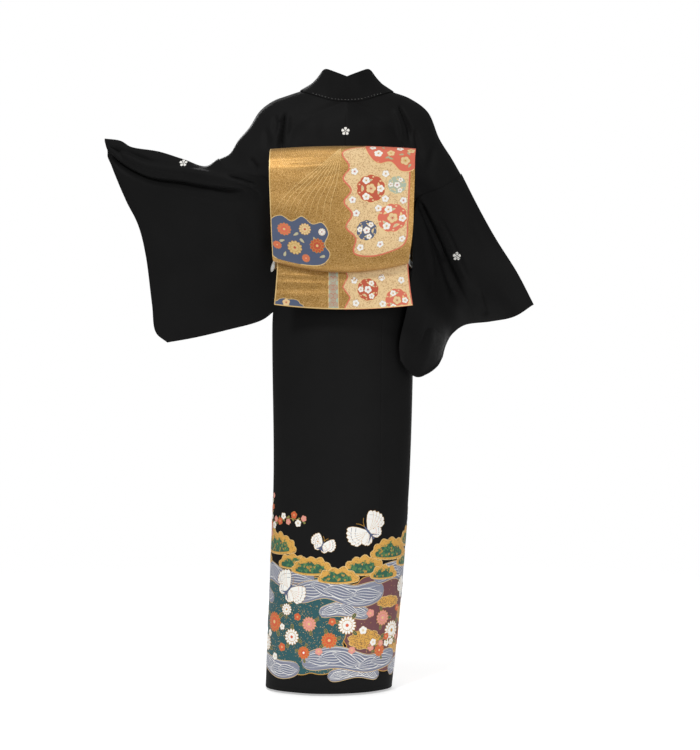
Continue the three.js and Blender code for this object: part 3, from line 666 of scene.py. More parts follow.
def ring_rows(side, start, end, count, start_inset, end_inset=0.0):
    """Rows below the patch, down to the tuck's rolled fold and back up inside it."""
    heights = list(np.linspace(-240, TUCK + 4, 30))
    rows = [(z, 0.0, z, -CLOTH) for z in heights]
    for turn in np.radians([30, 60, 90, 120, 150]):
        rows.append((TUCK + 2 - 2 * math.sin(turn), -ROLL + ROLL * math.cos(turn),
                     TUCK + 2 - 0.3 * math.sin(turn), -ROLL + ROLL_IN * math.cos(turn)))
    rows += [(z, -2 * ROLL, z, -ROLL - ROLL_IN) for z in (TUCK + 4, -440, TUCK_RETURN)]
    faces = []
    for z_key, lift_key in ((0, 1), (2, 3)):
        grid = []
        for row in rows:
            edges = read(BODICE_EDGES, row[0])
            f = np.linspace((float(edges[start]) if start else 0) + start_inset,
                            float(edges[end]) + end_inset, count)
            grid.append(around(row[z_key], sign(side) * f, over_lift(side, f) + row[lift_key]))
        faces.append(np.array(grid))
    return faces


def gathers(grid, outward):
    """Small soft gathers where the cloth runs under the obi and round the armhole."""
    x, z = grid[:, :, 0], grid[:, :, 2]
    wave = np.sin(x / 9.0 + 2 * np.sin(z / 23.0)) + 0.6 * np.sin(x / 5.3 + 1.3)
    depth = 0.7 * wave * ease(-165, -205, z) * ease(-232, -220, z)
    normal, _ = facing(grid)
    return grid + normal * (outward * depth)[..., None]


def bodice_grid(side, columns=90):
    rows = np.concatenate([np.linspace(0, ARMPIT, 31)[:-1],
                           np.linspace(ARMPIT, NAPE_AT, 36)[:-1], np.linspace(NAPE_AT, 1, 46)])
    u = np.concatenate([[0, 0.005, 0.012], np.linspace(0.02, 1, columns - 3)])
    shape = PATCHES[side]
    back = np.array([shape["back"](u, v) for v in rows])
    front = np.array([
        shape["front"](mix(overlap_share(v) + (OVERLAP_SEAM if v <= TIP else 0), 1, u), v)
        for v in rows])
    back = crease(back, BACK_CREASES, sign(side))
    front = crease(front, FRONT_CREASES, sign(side) * -1)
    spine = rows <= NAPE_AT
    back[spine, :2, 1] -= SPINE_GROOVE
    upper = np.vstack([back, front[::-1][1:]])
    upper = gathers(upper, sign(side))
    under = moved(upper, -CLOTH * sign(side))
    under[:len(rows)][spine, 0, 0] = upper[:len(rows)][spine, 0, 0]
    back_ring = ring_rows(side, None, "back", columns, HALF_SEAM, -HALF_SEAM)
    front_ring = ring_rows(side, "seam", "side", columns, -HALF_SEAM, HALF_SEAM)
    outer = np.vstack([back_ring[0][::-1], upper, front_ring[0]])
    inner = np.vstack([back_ring[1][::-1], under, front_ring[1]])
    return outer, inner


def overlap_top_grid(side, columns=24):
    u = np.linspace(0, 1, columns)
    rows = np.linspace(0, TIP, 50)
    front = PATCHES[side]["front"]
    upper = np.array([front(u * (overlap_share(v) - OVERLAP_SEAM), v) for v in rows])[::-1, ::-1]
    ring = ring_rows(side, "seam", "edge", columns, HALF_SEAM)
    under = moved(upper, CLOTH * sign(side))
    return np.vstack([upper, ring[0]]), np.vstack([under, ring[1]])


def skirt_lift(f):
    """In front, the right panels go under the left ones."""
    return UNDER * ease(-0.225, -0.3, f)


def skirt_ripple(z, f):
    """Long shallow undulations of the skirt, in millimetres."""
    low = ease(-560, -1200, z)
    wave = (np.sin(2 * np.pi * (5 * f + 0.13)) + 0.6 * np.sin(2 * np.pi * (8 * f - 0.21))
            + 0.35 * np.sin(2 * np.pi * (13 * f + 0.37)))
    return bpy.context.scene.kimono.ripple * wave * (0.3 + 0.7 * low) * ease(-470, -600, z)


def seam_groove(f):
    """The panels pull in a little at their seams."""
    deep, wide = 0.55, 1.3
    return sum(-deep * np.exp(-((f - seam) * ROUND / wide) ** 2)
               for seam in (-0.1, 0.225, -0.425, 0.5))


def skirt_point(z, f, lift):
    return around(z, f, skirt_lift(f) + lift + skirt_ripple(z, f) + seam_groove(f))


def skirt_grids(name):
    start, end = SKIRT_EDGES[name]
    near = np.array([0.02, 0.7, 1.4, 2.4, 3.6]) / ROUND
    f = np.linspace(start, end, int(round((end - start) * 160)) + 1)[1:-1]
    f = np.concatenate([start + near, f, (end - near)[::-1]])
    z = np.concatenate([np.linspace(SKIRT_TOP, -520, 14)[:-1], np.linspace(-520, HEM, 52)])
    zz, ff = np.meshgrid(z, f, indexing="ij")
    return skirt_point(zz, ff, 0), skirt_point(zz, ff, -CLOTH)


def collar_sections(side, back_rows, front_rows):
    """From the nape round the neck and down the chest: the seam's points and the fold's."""
    shape = PATCHES[side]
    zero = np.zeros(1)
    ring = np.linspace(-238, -300, 9)
    edges = read(BODICE_EDGES, ring)["edge"]
    seam = np.vstack([shape["back"](zero, v) for v in back_rows]
                     + [shape["front"](zero, v) for v in front_rows]
                     + [around(ring, sign(side) * edges, over_lift(side, edges))])
    back_points = from_neck(side, COLLAR_BACK)
    line = Line(back_points)
    marks = [line.run[np.argmin(np.linalg.norm(line.points - p, axis=1))]
             for p in np.array(back_points, float)]
    back_edge = line.at(np.interp(back_rows, np.linspace(NAPE_AT, 1, 5), marks))
    front_line = Line(back_points[-1:] + from_neck(side, COLLAR_FRONT)
                      + on_chest(side, COLLAR_CHEST))
    front = seam[len(back_rows) - 1:]
    reach = np.cumsum(np.linalg.norm(np.diff(front, axis=0), axis=1))
    flat = np.concatenate([np.zeros(len(back_rows)), ease(0.74, 0.6, front_rows),
                           np.ones(len(ring))])
    return seam, np.vstack([back_edge, front_line.at(reach / reach[-1])]), flat


def collar_grid(columns=16):
    back_rows = np.linspace(NAPE_AT, 1, 25)
    front_rows = np.linspace(1, 0, 61)[1:]
    halves = []
    for side in ("left", "right"):
        seam, edge, flat = collar_sections(side, back_rows, front_rows)
        rows = []
        for start, end, share in zip(seam, edge, flat):
            t = np.linspace(-0.6 / np.linalg.norm(end - start), 1, columns)[:, None]
            p = mix(start, end, t)
            lift = chest_lift(side, p[:, 0], p[:, 2])
            p[:, 1] = mix(p[:, 1], depth_at(p[:, 0], p[:, 2], lift, -1), share)
            rows.append(p)
        halves.append(np.array(rows))
    return np.vstack([halves[0][::-1], halves[1][1:]])


ARM_AT = 0.5  # where along a sleeve's inner edge its armhole begins
FRONT_FOLDS = 1.3, 0.6  # a sleeve's folds are wider and shallower in front by these factors


def sleeve_grid(side, columns=112):
    cut = SLEEVE[side]
    shape = PATCHES[side]
    top_line = Line(np.vstack([shape["top"](1.0), cut["top"]]))
    foot_line = Line(cut["foot"])
    rows = np.concatenate([np.linspace(0, ARM_AT, 46)[:-1], np.linspace(ARM_AT, 1, 66)])
    u = np.linspace(0, 1, columns)
    layers = {}
    for way in ("back", "front"):
        arm = shape["arm"][way]
        side_line = Line([cut["foot"][0]] + cut["side"][way][::-1] + [tuple(arm.at(0))])
        mouth = Line([cut["foot"][-1]] + cut["seam"][::-1] + cut["cuff"][way][::-1]
                     + [cut["top"][-1]])
        face = patch(foot_line.at, top_line.at, joined(side_line, arm, ARM_AT), mouth.at)
        layers[way] = np.array([face(u, v) for v in rows])
    creases = LEFT_SLEEVE_CREASES if side == "left" else RIGHT_SLEEVE_CREASES
    out = sign(side)
    back = crease(layers["back"], creases, out)
    wide, deep = FRONT_FOLDS
    soft = [(p, a * wide, b * wide, d * deep, s, e) for p, a, b, d, s, e in creases]
    front = crease(layers["front"], soft, -out)
    base = np.vstack([back, front[::-1][1:]])
    return moved(base, out * (CLOTH + SEAM)), moved(base, out * SEAM)


# ---------------------------------------------------------------- the obi and its braid
def obi_lift(f):
    """Height of the wound obi off the figure, over one layer of cloth behind and two in front."""
    f = np.mod(f, 1)
    part = np.where(f > 0.5, 1 - f, f)
    rise = np.where(f > 0.5, ease(0.3, 0.375, part), ease(0.28, 0.36, part))
    return mix(LIFT_OBI, LIFT_OBI_FRONT, rise)


def band_ripple(z, f):
    """Shallow horizontal creases in the wound obi, deeper at the sides."""
    sides = np.exp(-((np.abs(np.mod(f + 0.5, 1) - 0.5) - 0.25) / 0.07) ** 2)
    wave = np.sin(z / 11 + 3 * np.sin(2 * np.pi * f * 2)) + 0.5 * np.sin(z / 5.5 + 2 * np.pi * f)
    return wave * (0.2 + 0.5 * sides)


def band_point(z, f, lift):
    return around(z, f, obi_lift(f) + lift + band_ripple(z, f))


class Hung:
    """A sheet that hangs behind: read across by x and along by its length from the start."""

    def __init__(self, rows, ripple=None):
        points = np.stack([rows[name] for name in HUNG_COLUMNS.split()], 1)
        self.line = Line(points, measured=2)
        self.length = self.line.length
        self.ripple = ripple

    def edges(self, run):
        row = self.line.at(np.asarray(run, float) / self.length)
        return row[..., 2], row[..., 3]

    def point(self, x, run):
        row = self.line.at(np.asarray(run, float) / self.length)
        out = (np.asarray(x, float) / BOW_SPAN) ** 2
        x = np.broadcast_to(x, out.shape)
        y, z, bow, sag = row[..., 0], row[..., 1], row[..., 4], row[..., 5]
        return np.stack([x + 0 * z, y - bow * out, z + sag * out], -1)

    def lifted(self, x, run, lift, step=0.5):
        """A point off the sheet's outer side, with its ripples."""
        x, run = np.broadcast_arrays(np.asarray(x, float), np.asarray(run, float))
        here = self.point(x, run)
        down = self.point(x, np.minimum(run + step, self.length)) \
            - self.point(x, np.maximum(run - step, 0))
        across = self.point(x + step, run) - self.point(x - step, run)
        normal = np.cross(across, down)
        normal /= np.linalg.norm(normal, axis=-1, keepdims=True) + 1e-12
        extra = self.ripple(x, run) if self.ripple else 0
        return here + normal * (lift + extra)[..., None]

    def grids(self, columns, rows):
        run = np.linspace(0, self.length, rows)
        left, right = self.edges(run)
        share = np.linspace(0, 1, columns)
        x = left[:, None] + (right - left)[:, None] * share
        run = np.repeat(run[:, None], columns, 1)
        return self.lifted(x, run, np.zeros_like(x)), self.lifted(x, run, np.full_like(x, -OBI))


# Folds of the hanging sheets: place along the sheet, reach along it, middle across, half
# width, height (negative is a dent) and tilt.
DRUM_DENTS = [
    (260, 26, 95, 60, -0.9, 0), (320, 22, -60, 80, -0.9, 0), (210, 18, 30, 90, 0.6, 0),
    (240, 40, -110, 40, -0.7, 0), (330, 30, 120, 40, -0.8, 0)]
DRUM_CRUMPLES = [
    (199, 5, 70, 80, -1.5, 0.03), (209, 6, 60, 60, 0.8, 0.04), (214, 5, -8, 34, 1.1, 0.3),
    (223, 4, 8, 30, -1.0, 0.34), (232, 5, 20, 34, 0.9, 0.38), (206, 4, -62, 34, -1.0, -0.22),
    (216, 5, -80, 34, 0.8, -0.16), (242, 7, 44, 40, -0.7, 0.3)]
TAIL_CRUMPLES = [
    (96, 4, 70, 60, 1.3, 0.05), (104, 3, 20, 50, -1.0, 0.05), (112, 5, 95, 50, 1.1, 0.05),
    (124, 6, 60, 80, -0.9, 0.05), (101, 3, -60, 50, 0.9, 0.05), (116, 5, -90, 40, 0.8, 0.05),
    (140, 8, 100, 50, 0.8, 0.05), (150, 9, -30, 90, -0.7, 0.05)]


def folds(x, run, rows):
    """Height of short soft folds across a sheet."""
    high = 0.0
    for place, reach, middle, half, height, tilt in rows:
        high = high + height * np.exp(-((run - place - (x - middle) * tilt) / reach) ** 2
                                      - ((x - middle) / half) ** 2)
    return high


def drum_ripple(x, run):
    """The drum sags a little between its sides, and is crumpled where it turns at its top."""
    face = ease(150, 190, run) * ease(420, 380, run)
    return face * (folds(x, run, DRUM_DENTS) + folds(x, run, DRUM_CRUMPLES)
                   + 0.25 * np.sin(run / 13 + x / 40))


def tail_ripple(x, run):
    """Crumpled soft creases across the hanging end, strongest under the drum."""
    return ease(60, 95, run) * folds(x, run, TAIL_CRUMPLES)


DRUM_SHEET = Hung(DRUM, drum_ripple)
TAIL_SHEET = Hung(TAIL, tail_ripple)
HAND_SHEET = Hung(HAND)


def cord_line():
    off = OBI + CORD_AIR + CORD_THICK / 2
    f = np.linspace(0.25, 0.75, 13)
    rise = np.sin(np.pi * (f - 0.25) / 0.5)
    ring = around(mix(CORD_SIDE_Z, CORD_FRONT_Z, rise), f, obi_lift(f) + off)
    return Line(CORD_IN_DRUM[::-1] + [tuple(p) for p in ring], closed=True)


def cord_mesh(sections=420):
    """A flat braid whose edges are scalloped by its strands."""
    line = cord_line()
    share = np.arange(sections) / sections
    middle = line.at(share)
    near = 0.0008
    along = line.at(np.mod(share + near, 1)) - line.at(np.mod(share - near, 1))
    along /= np.linalg.norm(along, axis=1, keepdims=True)
    out = np.cross(along, (0, 0, 1))
    out /= np.linalg.norm(out, axis=1, keepdims=True)
    up = np.cross(out, along)
    turn = np.linspace(0, 2 * np.pi, 17)[:-1]
    across = np.sign(np.cos(turn)) * np.abs(np.cos(turn)) ** 0.7
    deep = np.sign(np.sin(turn)) * np.abs(np.sin(turn)) ** 0.7
    strand = np.sin(share * line.length / 4.2 * 2 * np.pi)[:, None]
    tight = 1 - 0.28 * ease(100, 130, middle[:, 1:2]) * ease(120, 135, np.abs(middle[:, :1]))
    wide = CORD_WIDTH / 2 * (0.95 + 0.05 * strand) * tight
    thick = CORD_THICK / 2 * (0.93 + 0.07 * np.cos(3 * turn)[None, :] * strand) * tight
    points = (middle[:, None] + up[:, None] * (wide * across)[..., None]
              + out[:, None] * (thick * deep)[..., None])
    return points.reshape(-1, 3), cells(sections, len(turn), (True, True))[:, ::-1]


def knot_mesh(rows=26, columns=40):
    """A flat square knot: a rounded bundle with a band wound over its middle."""
    half_width, half_depth, half_height, out = 14.6, 6.1, 10.2, 6.8
    at = around(CORD_FRONT_Z, 0.5, obi_lift(0.5) + OBI + CORD_AIR + CORD_THICK)
    a = np.linspace(0, np.pi, rows + 1)[:, None]
    b = np.linspace(0, 2 * np.pi, columns + 1)[:-1][None, :]
    x, y, z = np.cos(a) + 0 * b, np.sin(a) * np.cos(b), np.sin(a) * np.sin(b)

    def soft(v):
        return np.sign(v) * np.abs(v) ** 0.75

    waist = 1 + 0.1 * np.exp(-(x / 0.3) ** 2) - 0.09 * np.exp(-((np.abs(x) - 0.38) / 0.08) ** 2)
    fold = 1 + 0.03 * np.sin(b * 5)
    points = np.stack([at[0] + half_width * soft(x) + 0 * b,
                       at[1] - out + half_depth * soft(y) * waist * fold,
                       at[2] + half_height * soft(z) * waist], -1)
    return points.reshape(-1, 3), cells(rows + 1, columns, (False, True))[:, [0, 3, 2, 1]]


# ---------------------------------------------------------------- drawing on cloth
def petal(x, z, turn, start, length, width):
    """A rounded petal that begins a little way out from a flower's middle."""
    a = np.linspace(0, 2 * np.pi, 13)[:-1]
    along = start + length * (0.5 - 0.5 * np.cos(a))
    across = width / 2 * np.sin(a) * (0.75 - 0.35 * np.cos(a))
    c, s = math.cos(turn), math.sin(turn)
    return np.stack([x + along * c - across * s, z + along * s + across * c], 1)


def lobed(x, z, rx, rz, lobes, depth=0.14, turn=0.0, square=2.0):
    """A closed outline with round lobes; none of them gives an ellipse."""
    count = max(12, 8 * lobes)
    a = np.linspace(0, 2 * np.pi, count + 1)[:-1]
    r = (np.abs(np.cos(a)) ** square + np.abs(np.sin(a)) ** square) ** (-1 / square)
    if lobes:
        r = r * (1 - depth + depth * np.abs(np.sin(a * lobes / 2 + turn)) ** 0.7)
    return np.stack([x + rx * r * np.cos(a), z + rz * r * np.sin(a)], 1)


def speck(x, z, size, turn=0.0):
    """A five-sided dot, a little wider than high."""
    a = turn + np.arange(5) * 2 * np.pi / 5
    return np.stack([x + 1.3 * size * np.cos(a), z + size * np.sin(a)], 1)


def mound(x, z, width, height, lobes, seed):
    """A low bank with a scalloped top and a bowed foot."""
    top = []
    for k in range(lobes):
        ends = np.pi * np.array([k, k + 1]) / lobes
        p0, p1 = np.stack([-np.cos(ends) * width / 2, np.sin(ends) * height], 1)
        side = np.array([p0[1] - p1[1], p1[0] - p0[0]])
        for t in np.linspace(0, 1, 7)[:-1]:
            top.append(mix(p0, p1, t)
                       + side * (0.34 + 0.07 * math.sin(3 * k + seed)) * math.sin(math.pi * t))
    foot = [(width / 2 - width * t, -height * 0.2 * math.sin(math.pi * t) ** 0.7)
            for t in np.linspace(0, 1, 11)[:-1]]
    return np.array([(x, z)]) + np.array(top + foot)


def inside(points, outline):
    """Which points lie within a closed outline."""
    x, y = points[:, 0], points[:, 1]
    within = np.zeros(len(points), bool)
    for (ax, ay), (bx, by) in zip(outline, np.roll(outline, -1, axis=0)):
        if ay != by:
            within ^= ((ay > y) != (by > y)) & (x < (bx - ax) * (y - ay) / (by - ay) + ax)
    return within


def clip(outline, low, high):
    """A shape cut to a box, side by side."""
    for axis, keep, edge in ((0, 1, low[0]), (0, -1, high[0]), (1, 1, low[1]), (1, -1, high[1])):
        cut = []
        for p, q in zip(outline, np.roll(outline, -1, axis=0)):
            a, b = keep * (p[axis] - edge), keep * (q[axis] - edge)
            if a >= 0:
                cut.append(p)
            if a * b < 0:
                cut.append(mix(p, q, a / (a - b)))
        outline = np.array(cut)
        if len(outline) < 3:
            return None
    return outline


def spots(outline, count, seed):
    """Places scattered inside an outline."""
    draw = random.Random(seed)
    low, high = outline.min(0), outline.max(0)
    places = np.array([[mix(low[k], high[k], draw.random()) for k in (0, 1)]
                       for _ in range(count * 2)])
    return places[inside(places, outline)][:count]


class Drawing:
    """Flat shapes in millimetres, each with a dye and a level, to be laid on a cloth."""
    FIRST, STEP = 0.1, 0.045  # lift of level nought, and from each level to the next

    def __init__(self, low, high, grain=4.0):
        self.low, self.high, self.grain = np.array(low, float), np.array(high, float), grain
        self.points, self.levels, self.faces, self.picks, self.dyes = [], [], [], [], []
        self.count = 0

    def _add(self, dye, level, points, faces):
        if dye not in self.dyes:
            self.dyes.append(dye)
        self.points.append(points)
        self.levels.append(np.full(len(points), float(level)))
        self.faces += [tuple(self.count + k for k in face) for face in faces]
        self.picks += [self.dyes.index(dye)] * len(faces)
        self.count += len(points)

    def shape(self, dye, outline, level):
        outline = np.asarray(outline, float)
        if (outline.min(0) < self.low).any() or (outline.max(0) > self.high).any():
            outline = clip(outline, self.low, self.high)
            if outline is None:
                return
        low, high = outline.min(0), outline.max(0)
        if max(high - low) < 2.5 * self.grain:
            n = len(outline)
            self._add(dye, level, np.vstack([outline, outline.mean(0)]),
                      [(k, (k + 1) % n, n) for k in range(n)])
            return
        edge = []
        for p, q in zip(outline, np.roll(outline, -1, axis=0)):
            steps = max(1, int(np.linalg.norm(q - p) / self.grain))
            edge += [mix(p, q, t) for t in np.arange(steps) / steps]
        edge = np.array(edge)
        axes = [np.arange(a + 0.5 * self.grain, b, self.grain) for a, b in zip(low, high)]
        fill = np.stack(np.meshgrid(*axes), -1).reshape(-1, 2)
        fill = fill[inside(fill, edge)]
        if len(fill):
            gap = np.linalg.norm(fill[:, None] - edge[None], axis=2).min(1)
            fill = fill[gap > self.grain * 0.4]
        found = delaunay_2d_cdt([Vector(p) for p in np.vstack([edge, fill]).tolist()], [],
                                [list(range(len(edge)))], 1, 1e-4)
        self._add(dye, level, np.array([tuple(v) for v in found[0]]),
                  [tuple(face) for face in found[2]])

    def ribbon(self, dye, line, width, level, closed=False):
        """A line of even width, or of one width for each of its points."""
        line = np.asarray(line, float)
        if closed:
            line = np.vstack([line, line[:1]])
        width = np.broadcast_to(np.asarray(width, float), len(line))
        steps = np.concatenate([[0], np.cumsum(np.linalg.norm(np.diff(line, axis=0), axis=1))])
        count = max(len(line), int(steps[-1] / self.grain) + 1)
        if len(line) < count:
            even = np.linspace(0, steps[-1], count)
            width = np.interp(even, steps, width)
            line = np.stack([np.interp(even, steps, column) for column in line.T], 1)
        keep = ((line >= self.low) & (line <= self.high)).all(1)
        if not keep.all():
            for run in np.split(np.arange(len(line)), np.flatnonzero(~keep)):
                run = run[keep[run]]
                if len(run) > 1:
                    self._strip(dye, line[run], width[run], level)
        elif len(line) > 1:
            self._strip(dye, line, width, level)

    def _strip(self, dye, line, width, level):
        along = np.gradient(line, axis=0)
        along /= np.linalg.norm(along, axis=1, keepdims=True) + 1e-9
        off = np.stack([-along[:, 1], along[:, 0]], 1) * width[:, None] / 2
        n = len(line)
        self._add(dye, level, np.vstack([line + off, line - off]),
                  [(k, k + 1, n + k + 1, n + k) for k in range(n - 1)])

    def edged(self, dye, rim, outline, width, level):
        self.shape(dye, outline, level)
        self.ribbon(rim, outline, width, level + 0.5, closed=True)

    def lay(self, name, surface, slot="figured_silk"):
        """One piece: surface gives a place for (across, up, lift)."""
        flat = np.vstack(self.points)
        lift = self.FIRST + self.STEP * np.concatenate(self.levels)
        placed = surface(flat[:, 0], flat[:, 1], lift)
        out = surface(flat[:, 0], flat[:, 1], lift + 1) - placed
        a, b, c = (placed[[face[k] for face in self.faces]] for k in range(3))
        side = np.einsum("ij,ij->i", np.cross(b - a, c - a), out[[f[0] for f in self.faces]])
        faces = [face[::-1] if back else face for face, back in zip(self.faces, side < 0)]
        return add_mesh(name, placed, faces, [finish_of(dye) for dye in self.dyes],
                        picks=self.picks, slot=slot)


def chrysanthemum(d, x, z, r, dye, heart, level, petals, turn):
    """Two rings of gold-edged petals and a heart."""
    rings = ((petals, 0.16, 0.86, 6.4, 0), (petals - 4, 0.05, 0.56, 4.8, 2))
    for count, start, long, wide, up in rings:
        for k in range(count):
            a = turn + up + 2 * math.pi * k / count
            d.shape("gold", petal(x, z, a, r * start, r * long, r * wide / count), level + up)
            d.shape(dye, petal(x, z, a, r * (start + 0.02), r * (long - 0.07),
                               r * wide * 0.76 / count), level + up + 1)
    d.shape(heart, lobed(x, z, r * 0.18, r * 0.18, 0), level + 4)


def blossom(d, x, z, r, dye, heart, level, turn, rim="gold"):
    """A five-petalled blossom with its rim and stamens."""
    for k in range(5):
        a = turn + 2 * math.pi * k / 5
        px, pz = x + 0.54 * r * math.cos(a), z + 0.54 * r * math.sin(a)
        d.shape(rim, lobed(px, pz, r * 0.53, r * 0.53, 0), level)
        d.shape(dye, lobed(px, pz, r * 0.47, r * 0.47, 0), level + 0.5)
    for k in range(7):
        a = turn + 2 * math.pi * k / 7
        d.ribbon(heart, [(x, z), (x + 0.42 * r * math.cos(a), z + 0.42 * r * math.sin(a))],
                 r * 0.07, level + 1)
    d.shape(heart, lobed(x, z, r * 0.17, r * 0.17, 0), level + 1)


def leaf(d, x, z, turn, length, dye, rim, level):
    tip = (x + math.cos(turn) * length * 0.86, z + math.sin(turn) * length * 0.86)
    d.shape(rim, petal(x, z, turn, -0.6, length + 1.4, length * 0.66), level)
    d.shape(dye, petal(x, z, turn, 0.2, length, length * 0.52), level + 0.5)
    d.ribbon(rim, [(x, z), tip], 0.7, level + 1)


def butterfly(d, x, z, size, turn, level):
    """A white butterfly: fanned wings of feathered petals, gold-edged."""
    for way in (-1, 1):
        for lean, spread, count, long, wide in ((1.25, 0.95, 6, 0.56, 0.2),
                                                (2.35, 0.55, 4, 0.36, 0.17)):
            for k in range(count):
                share = k / (count - 1) - 0.5
                a = turn + way * (lean + spread * share)
                reach = size * long * (1 - 0.5 * share * share * (1 if share > 0 else 0.3))
                up = level + 0.5 * (count - k)
                d.shape("gold", petal(x, z, a, 0, reach + 1.0, size * wide + 1.4), up)
                d.shape("white", petal(x, z, a, 0.4, reach, size * wide), up + 0.4)
                for at in (0.6, 0.8):
                    mid = np.array([x, z]) + reach * at * np.array([math.cos(a), math.sin(a)])
                    across = size * wide * 0.26 * np.array([-math.sin(a), math.cos(a)])
                    d.ribbon(("slate", "pink")[way > 0 and at < 0.7], [mid - across, mid + across],
                             0.8, up + 0.45)
    c, s = math.cos(turn), math.sin(turn)
    body = np.array([(x, z)]) + np.outer(np.array([-0.24, -0.1, 0, 0.1, 0.17]) * size, (c, s))
    d.ribbon("slate", body, np.array([0.4, 0.05, 0.06, 0.05, 0.02]) * size ** 0.98, level + 4.5)
    for way in (-1, 1):
        a = turn + way * 0.4
        feeler = body[4] + np.outer([0, 0.12, 0.2], (math.cos(a), math.sin(a))) * size
        feeler[2] += way * 0.04 * size * np.array([-s, c])
        d.ribbon("gold", feeler, 0.8, level + 4.5)


def bank(d, x, z, width, height, level, seed):
    """A planted bank: gold body with a stippled rim, green hollows and gold needles."""
    lobes = max(4, int(width / 13))
    outline = mound(x, z, width, height, lobes, seed)
    d.edged("ochre", "pale_gold", outline, 1.3, level)
    for px, pz in spots(outline, int(width * height / 16), seed):
        d.shape("brown", speck(px, pz, 0.7, px), level + 0.6)
    hollow = mound(x + width * 0.03, z + height * 0.04, width * 0.74, height * 0.56,
                   max(4, lobes - 2), seed + 1)
    d.edged("deep_green", "gold", hollow, 0.9, level + 1)
    for k, (px, pz) in enumerate(spots(hollow, int(width * height / 60), seed + 2)):
        for turn in (0.9, 1.25, 1.6, 1.95):
            tip = (px + 5 * math.cos(turn), pz + 5 * math.sin(turn))
            d.ribbon(("leaf_green", "gold")[k % 3 == 0], [(px, pz), tip], 0.8, level + 1.8)


def stream(d, points, width, level, seed):
    """Water: a band with round ends and a gold edge, covered by crossing sheaves of lines."""
    line = Line([(x, 0, z) for x, z in points])
    t = np.linspace(0, 1, max(26, int(line.length / 4)))
    mid = line.at(t)[:, [0, 2]]
    along = np.gradient(mid, axis=0)
    off = np.stack([-along[:, 1], along[:, 0]], 1) / np.linalg.norm(along, axis=1)[:, None]
    half = (width / 2 * np.sqrt(np.clip(1 - (2 * t - 1) ** 8, 0.02, 1))
            * (1 + 0.12 * np.sin(7 * t + seed)))[:, None]
    for grow, dye, up in ((1.0, "pale_gold", 0), (0, "lavender", 0.4)):
        d.shape(dye, np.vstack([mid + off * (half + grow), (mid - off * (half + grow))[::-1]]),
                level + up)
    for k in range(12):
        bend = -0.88 + 1.76 * k / 11 + 0.05 * np.sin(11 * t + seed + k)
        first = int(len(t) * (0.03 + 0.03 * ((3 * k + seed) % 4)))
        last = int(len(t) * (0.98 - 0.03 * ((5 * k + seed) % 4)))
        wide = 1.0 * np.sin(np.linspace(0.3, np.pi - 0.3, last - first))
        d.ribbon(("white", "slate")[k % 2], (mid + off * half * bend[:, None])[first:last], wide,
                 level + 0.8)
    count = max(1, int((line.length - 1.9 * width) / (0.62 * width)) + 1)
    for k in range(count):
        share = 0.5 if count == 1 else mix(0.95 * width, line.length - 0.95 * width,
                                           k / (count - 1)) / line.length
        p, q = line.at(share)[[0, 2]], line.at(share + 0.01)[[0, 2]]
        turn = math.atan2(*(q - p)[::-1]) + (0.2, -0.16, 0.1)[(k + seed) % 3]
        sheaf(d, *p, turn, 0.82 * width, 0.3 * width, level + 1.2 + 0.7 * (k % 3))


def sheaf(d, x, z, turn, reach, high, level):
    """A lens of water whose lines run together at its tips."""
    t = np.linspace(-1, 1, 17)
    c, s = math.cos(turn), math.sin(turn)

    def bowed(share):
        across, up = t * reach, share * high * np.cos(t * np.pi / 2) + 0.16 * high * np.sin(3 * t)
        return np.stack([x + across * c - up * s, z + across * s + up * c], 1)

    d.shape("lavender", np.vstack([bowed(1.0), bowed(-1.0)[::-1][1:-1]]), level)
    for k in range(9):
        wide = (0.9, 1.3)[k % 8 == 0] * np.cos(t * np.pi / 2.3)
        d.ribbon(("white", "slate")[k % 2], bowed(0.98 - k * 0.245), wide, level + 0.4)


def cloud(d, x, z, rx, rz, level, seed):
    """A lobed gold cloud, stippled."""
    outline = lobed(x, z, rx, rz, 9, 0.16, seed)
    d.edged("ochre", "pale_gold", outline, 1.1, level)
    for px, pz in spots(outline, int(rx * rz / 3), seed):
        d.shape("brown", speck(px, pz, 0.9, px), level + 0.6)


BLOSSOM_DYES = ("vermilion", "white", "pink")


def spray(d, points, level, count, seed):
    """A curved stem with leaves and small blossoms."""
    line = Line([(x, 0, z) for x, z in points])
    steps = 24
    stem = line.at(np.linspace(0, 1, steps))[:, [0, 2]]
    d.ribbon("branch", stem, np.linspace(3.4, 1.0, steps), level)
    d.ribbon("gold", stem, np.linspace(0.9, 0.4, steps), level + 0.3)
    draw = random.Random(seed)
    for k in range(count):
        share = (k + 0.6) / count
        p, q = line.at(share)[[0, 2]], line.at(min(share + 0.03, 1))[[0, 2]]
        way = 1 if k % 2 else -1
        turn = math.atan2(*(q - p)[::-1]) if share < 0.97 else 1.5
        turn += way * draw.uniform(0.7, 1.1)
        tip = p + draw.uniform(5, 10) * np.array([math.cos(turn), math.sin(turn)])
        d.ribbon("branch", [p, tip], [1.4, 0.9], level)
        leaf(d, *p, turn - way * 1.6, draw.uniform(7, 10), "leaf_green", "gold", level + 0.4)
        blossom(d, *tip, draw.uniform(6.2, 8.4), BLOSSOM_DYES[(k + 1) % 3], "pale_gold",
                level + 1.6, k)


EVERYWHERE = (-1e4, -1e4), (1e4, 1e4)
STITCHED = 3, 76  # the stitches' first and last place, from the nape round the neck
STITCHES = 7.2, 1.7, 0.65, 2.4  # apart, length, width, height over the collar's seam
FAR = 400  # outside all the cloth
CRESTS = [  # name, across, up, seen from behind (1) or in front (-1), cloth
    ("back", -1, -102, 1, ("bodice_left", "bodice_right")),
    ("left_sleeve", 358, -153, 1, ("sleeve_left",)),
    ("right_sleeve", -246, -362, 1, ("sleeve_right",)),
    ("left_chest", 92, -112, -1, ("bodice_left",)),
    ("right_chest", -100, -112, -1, ("bodice_right",))]


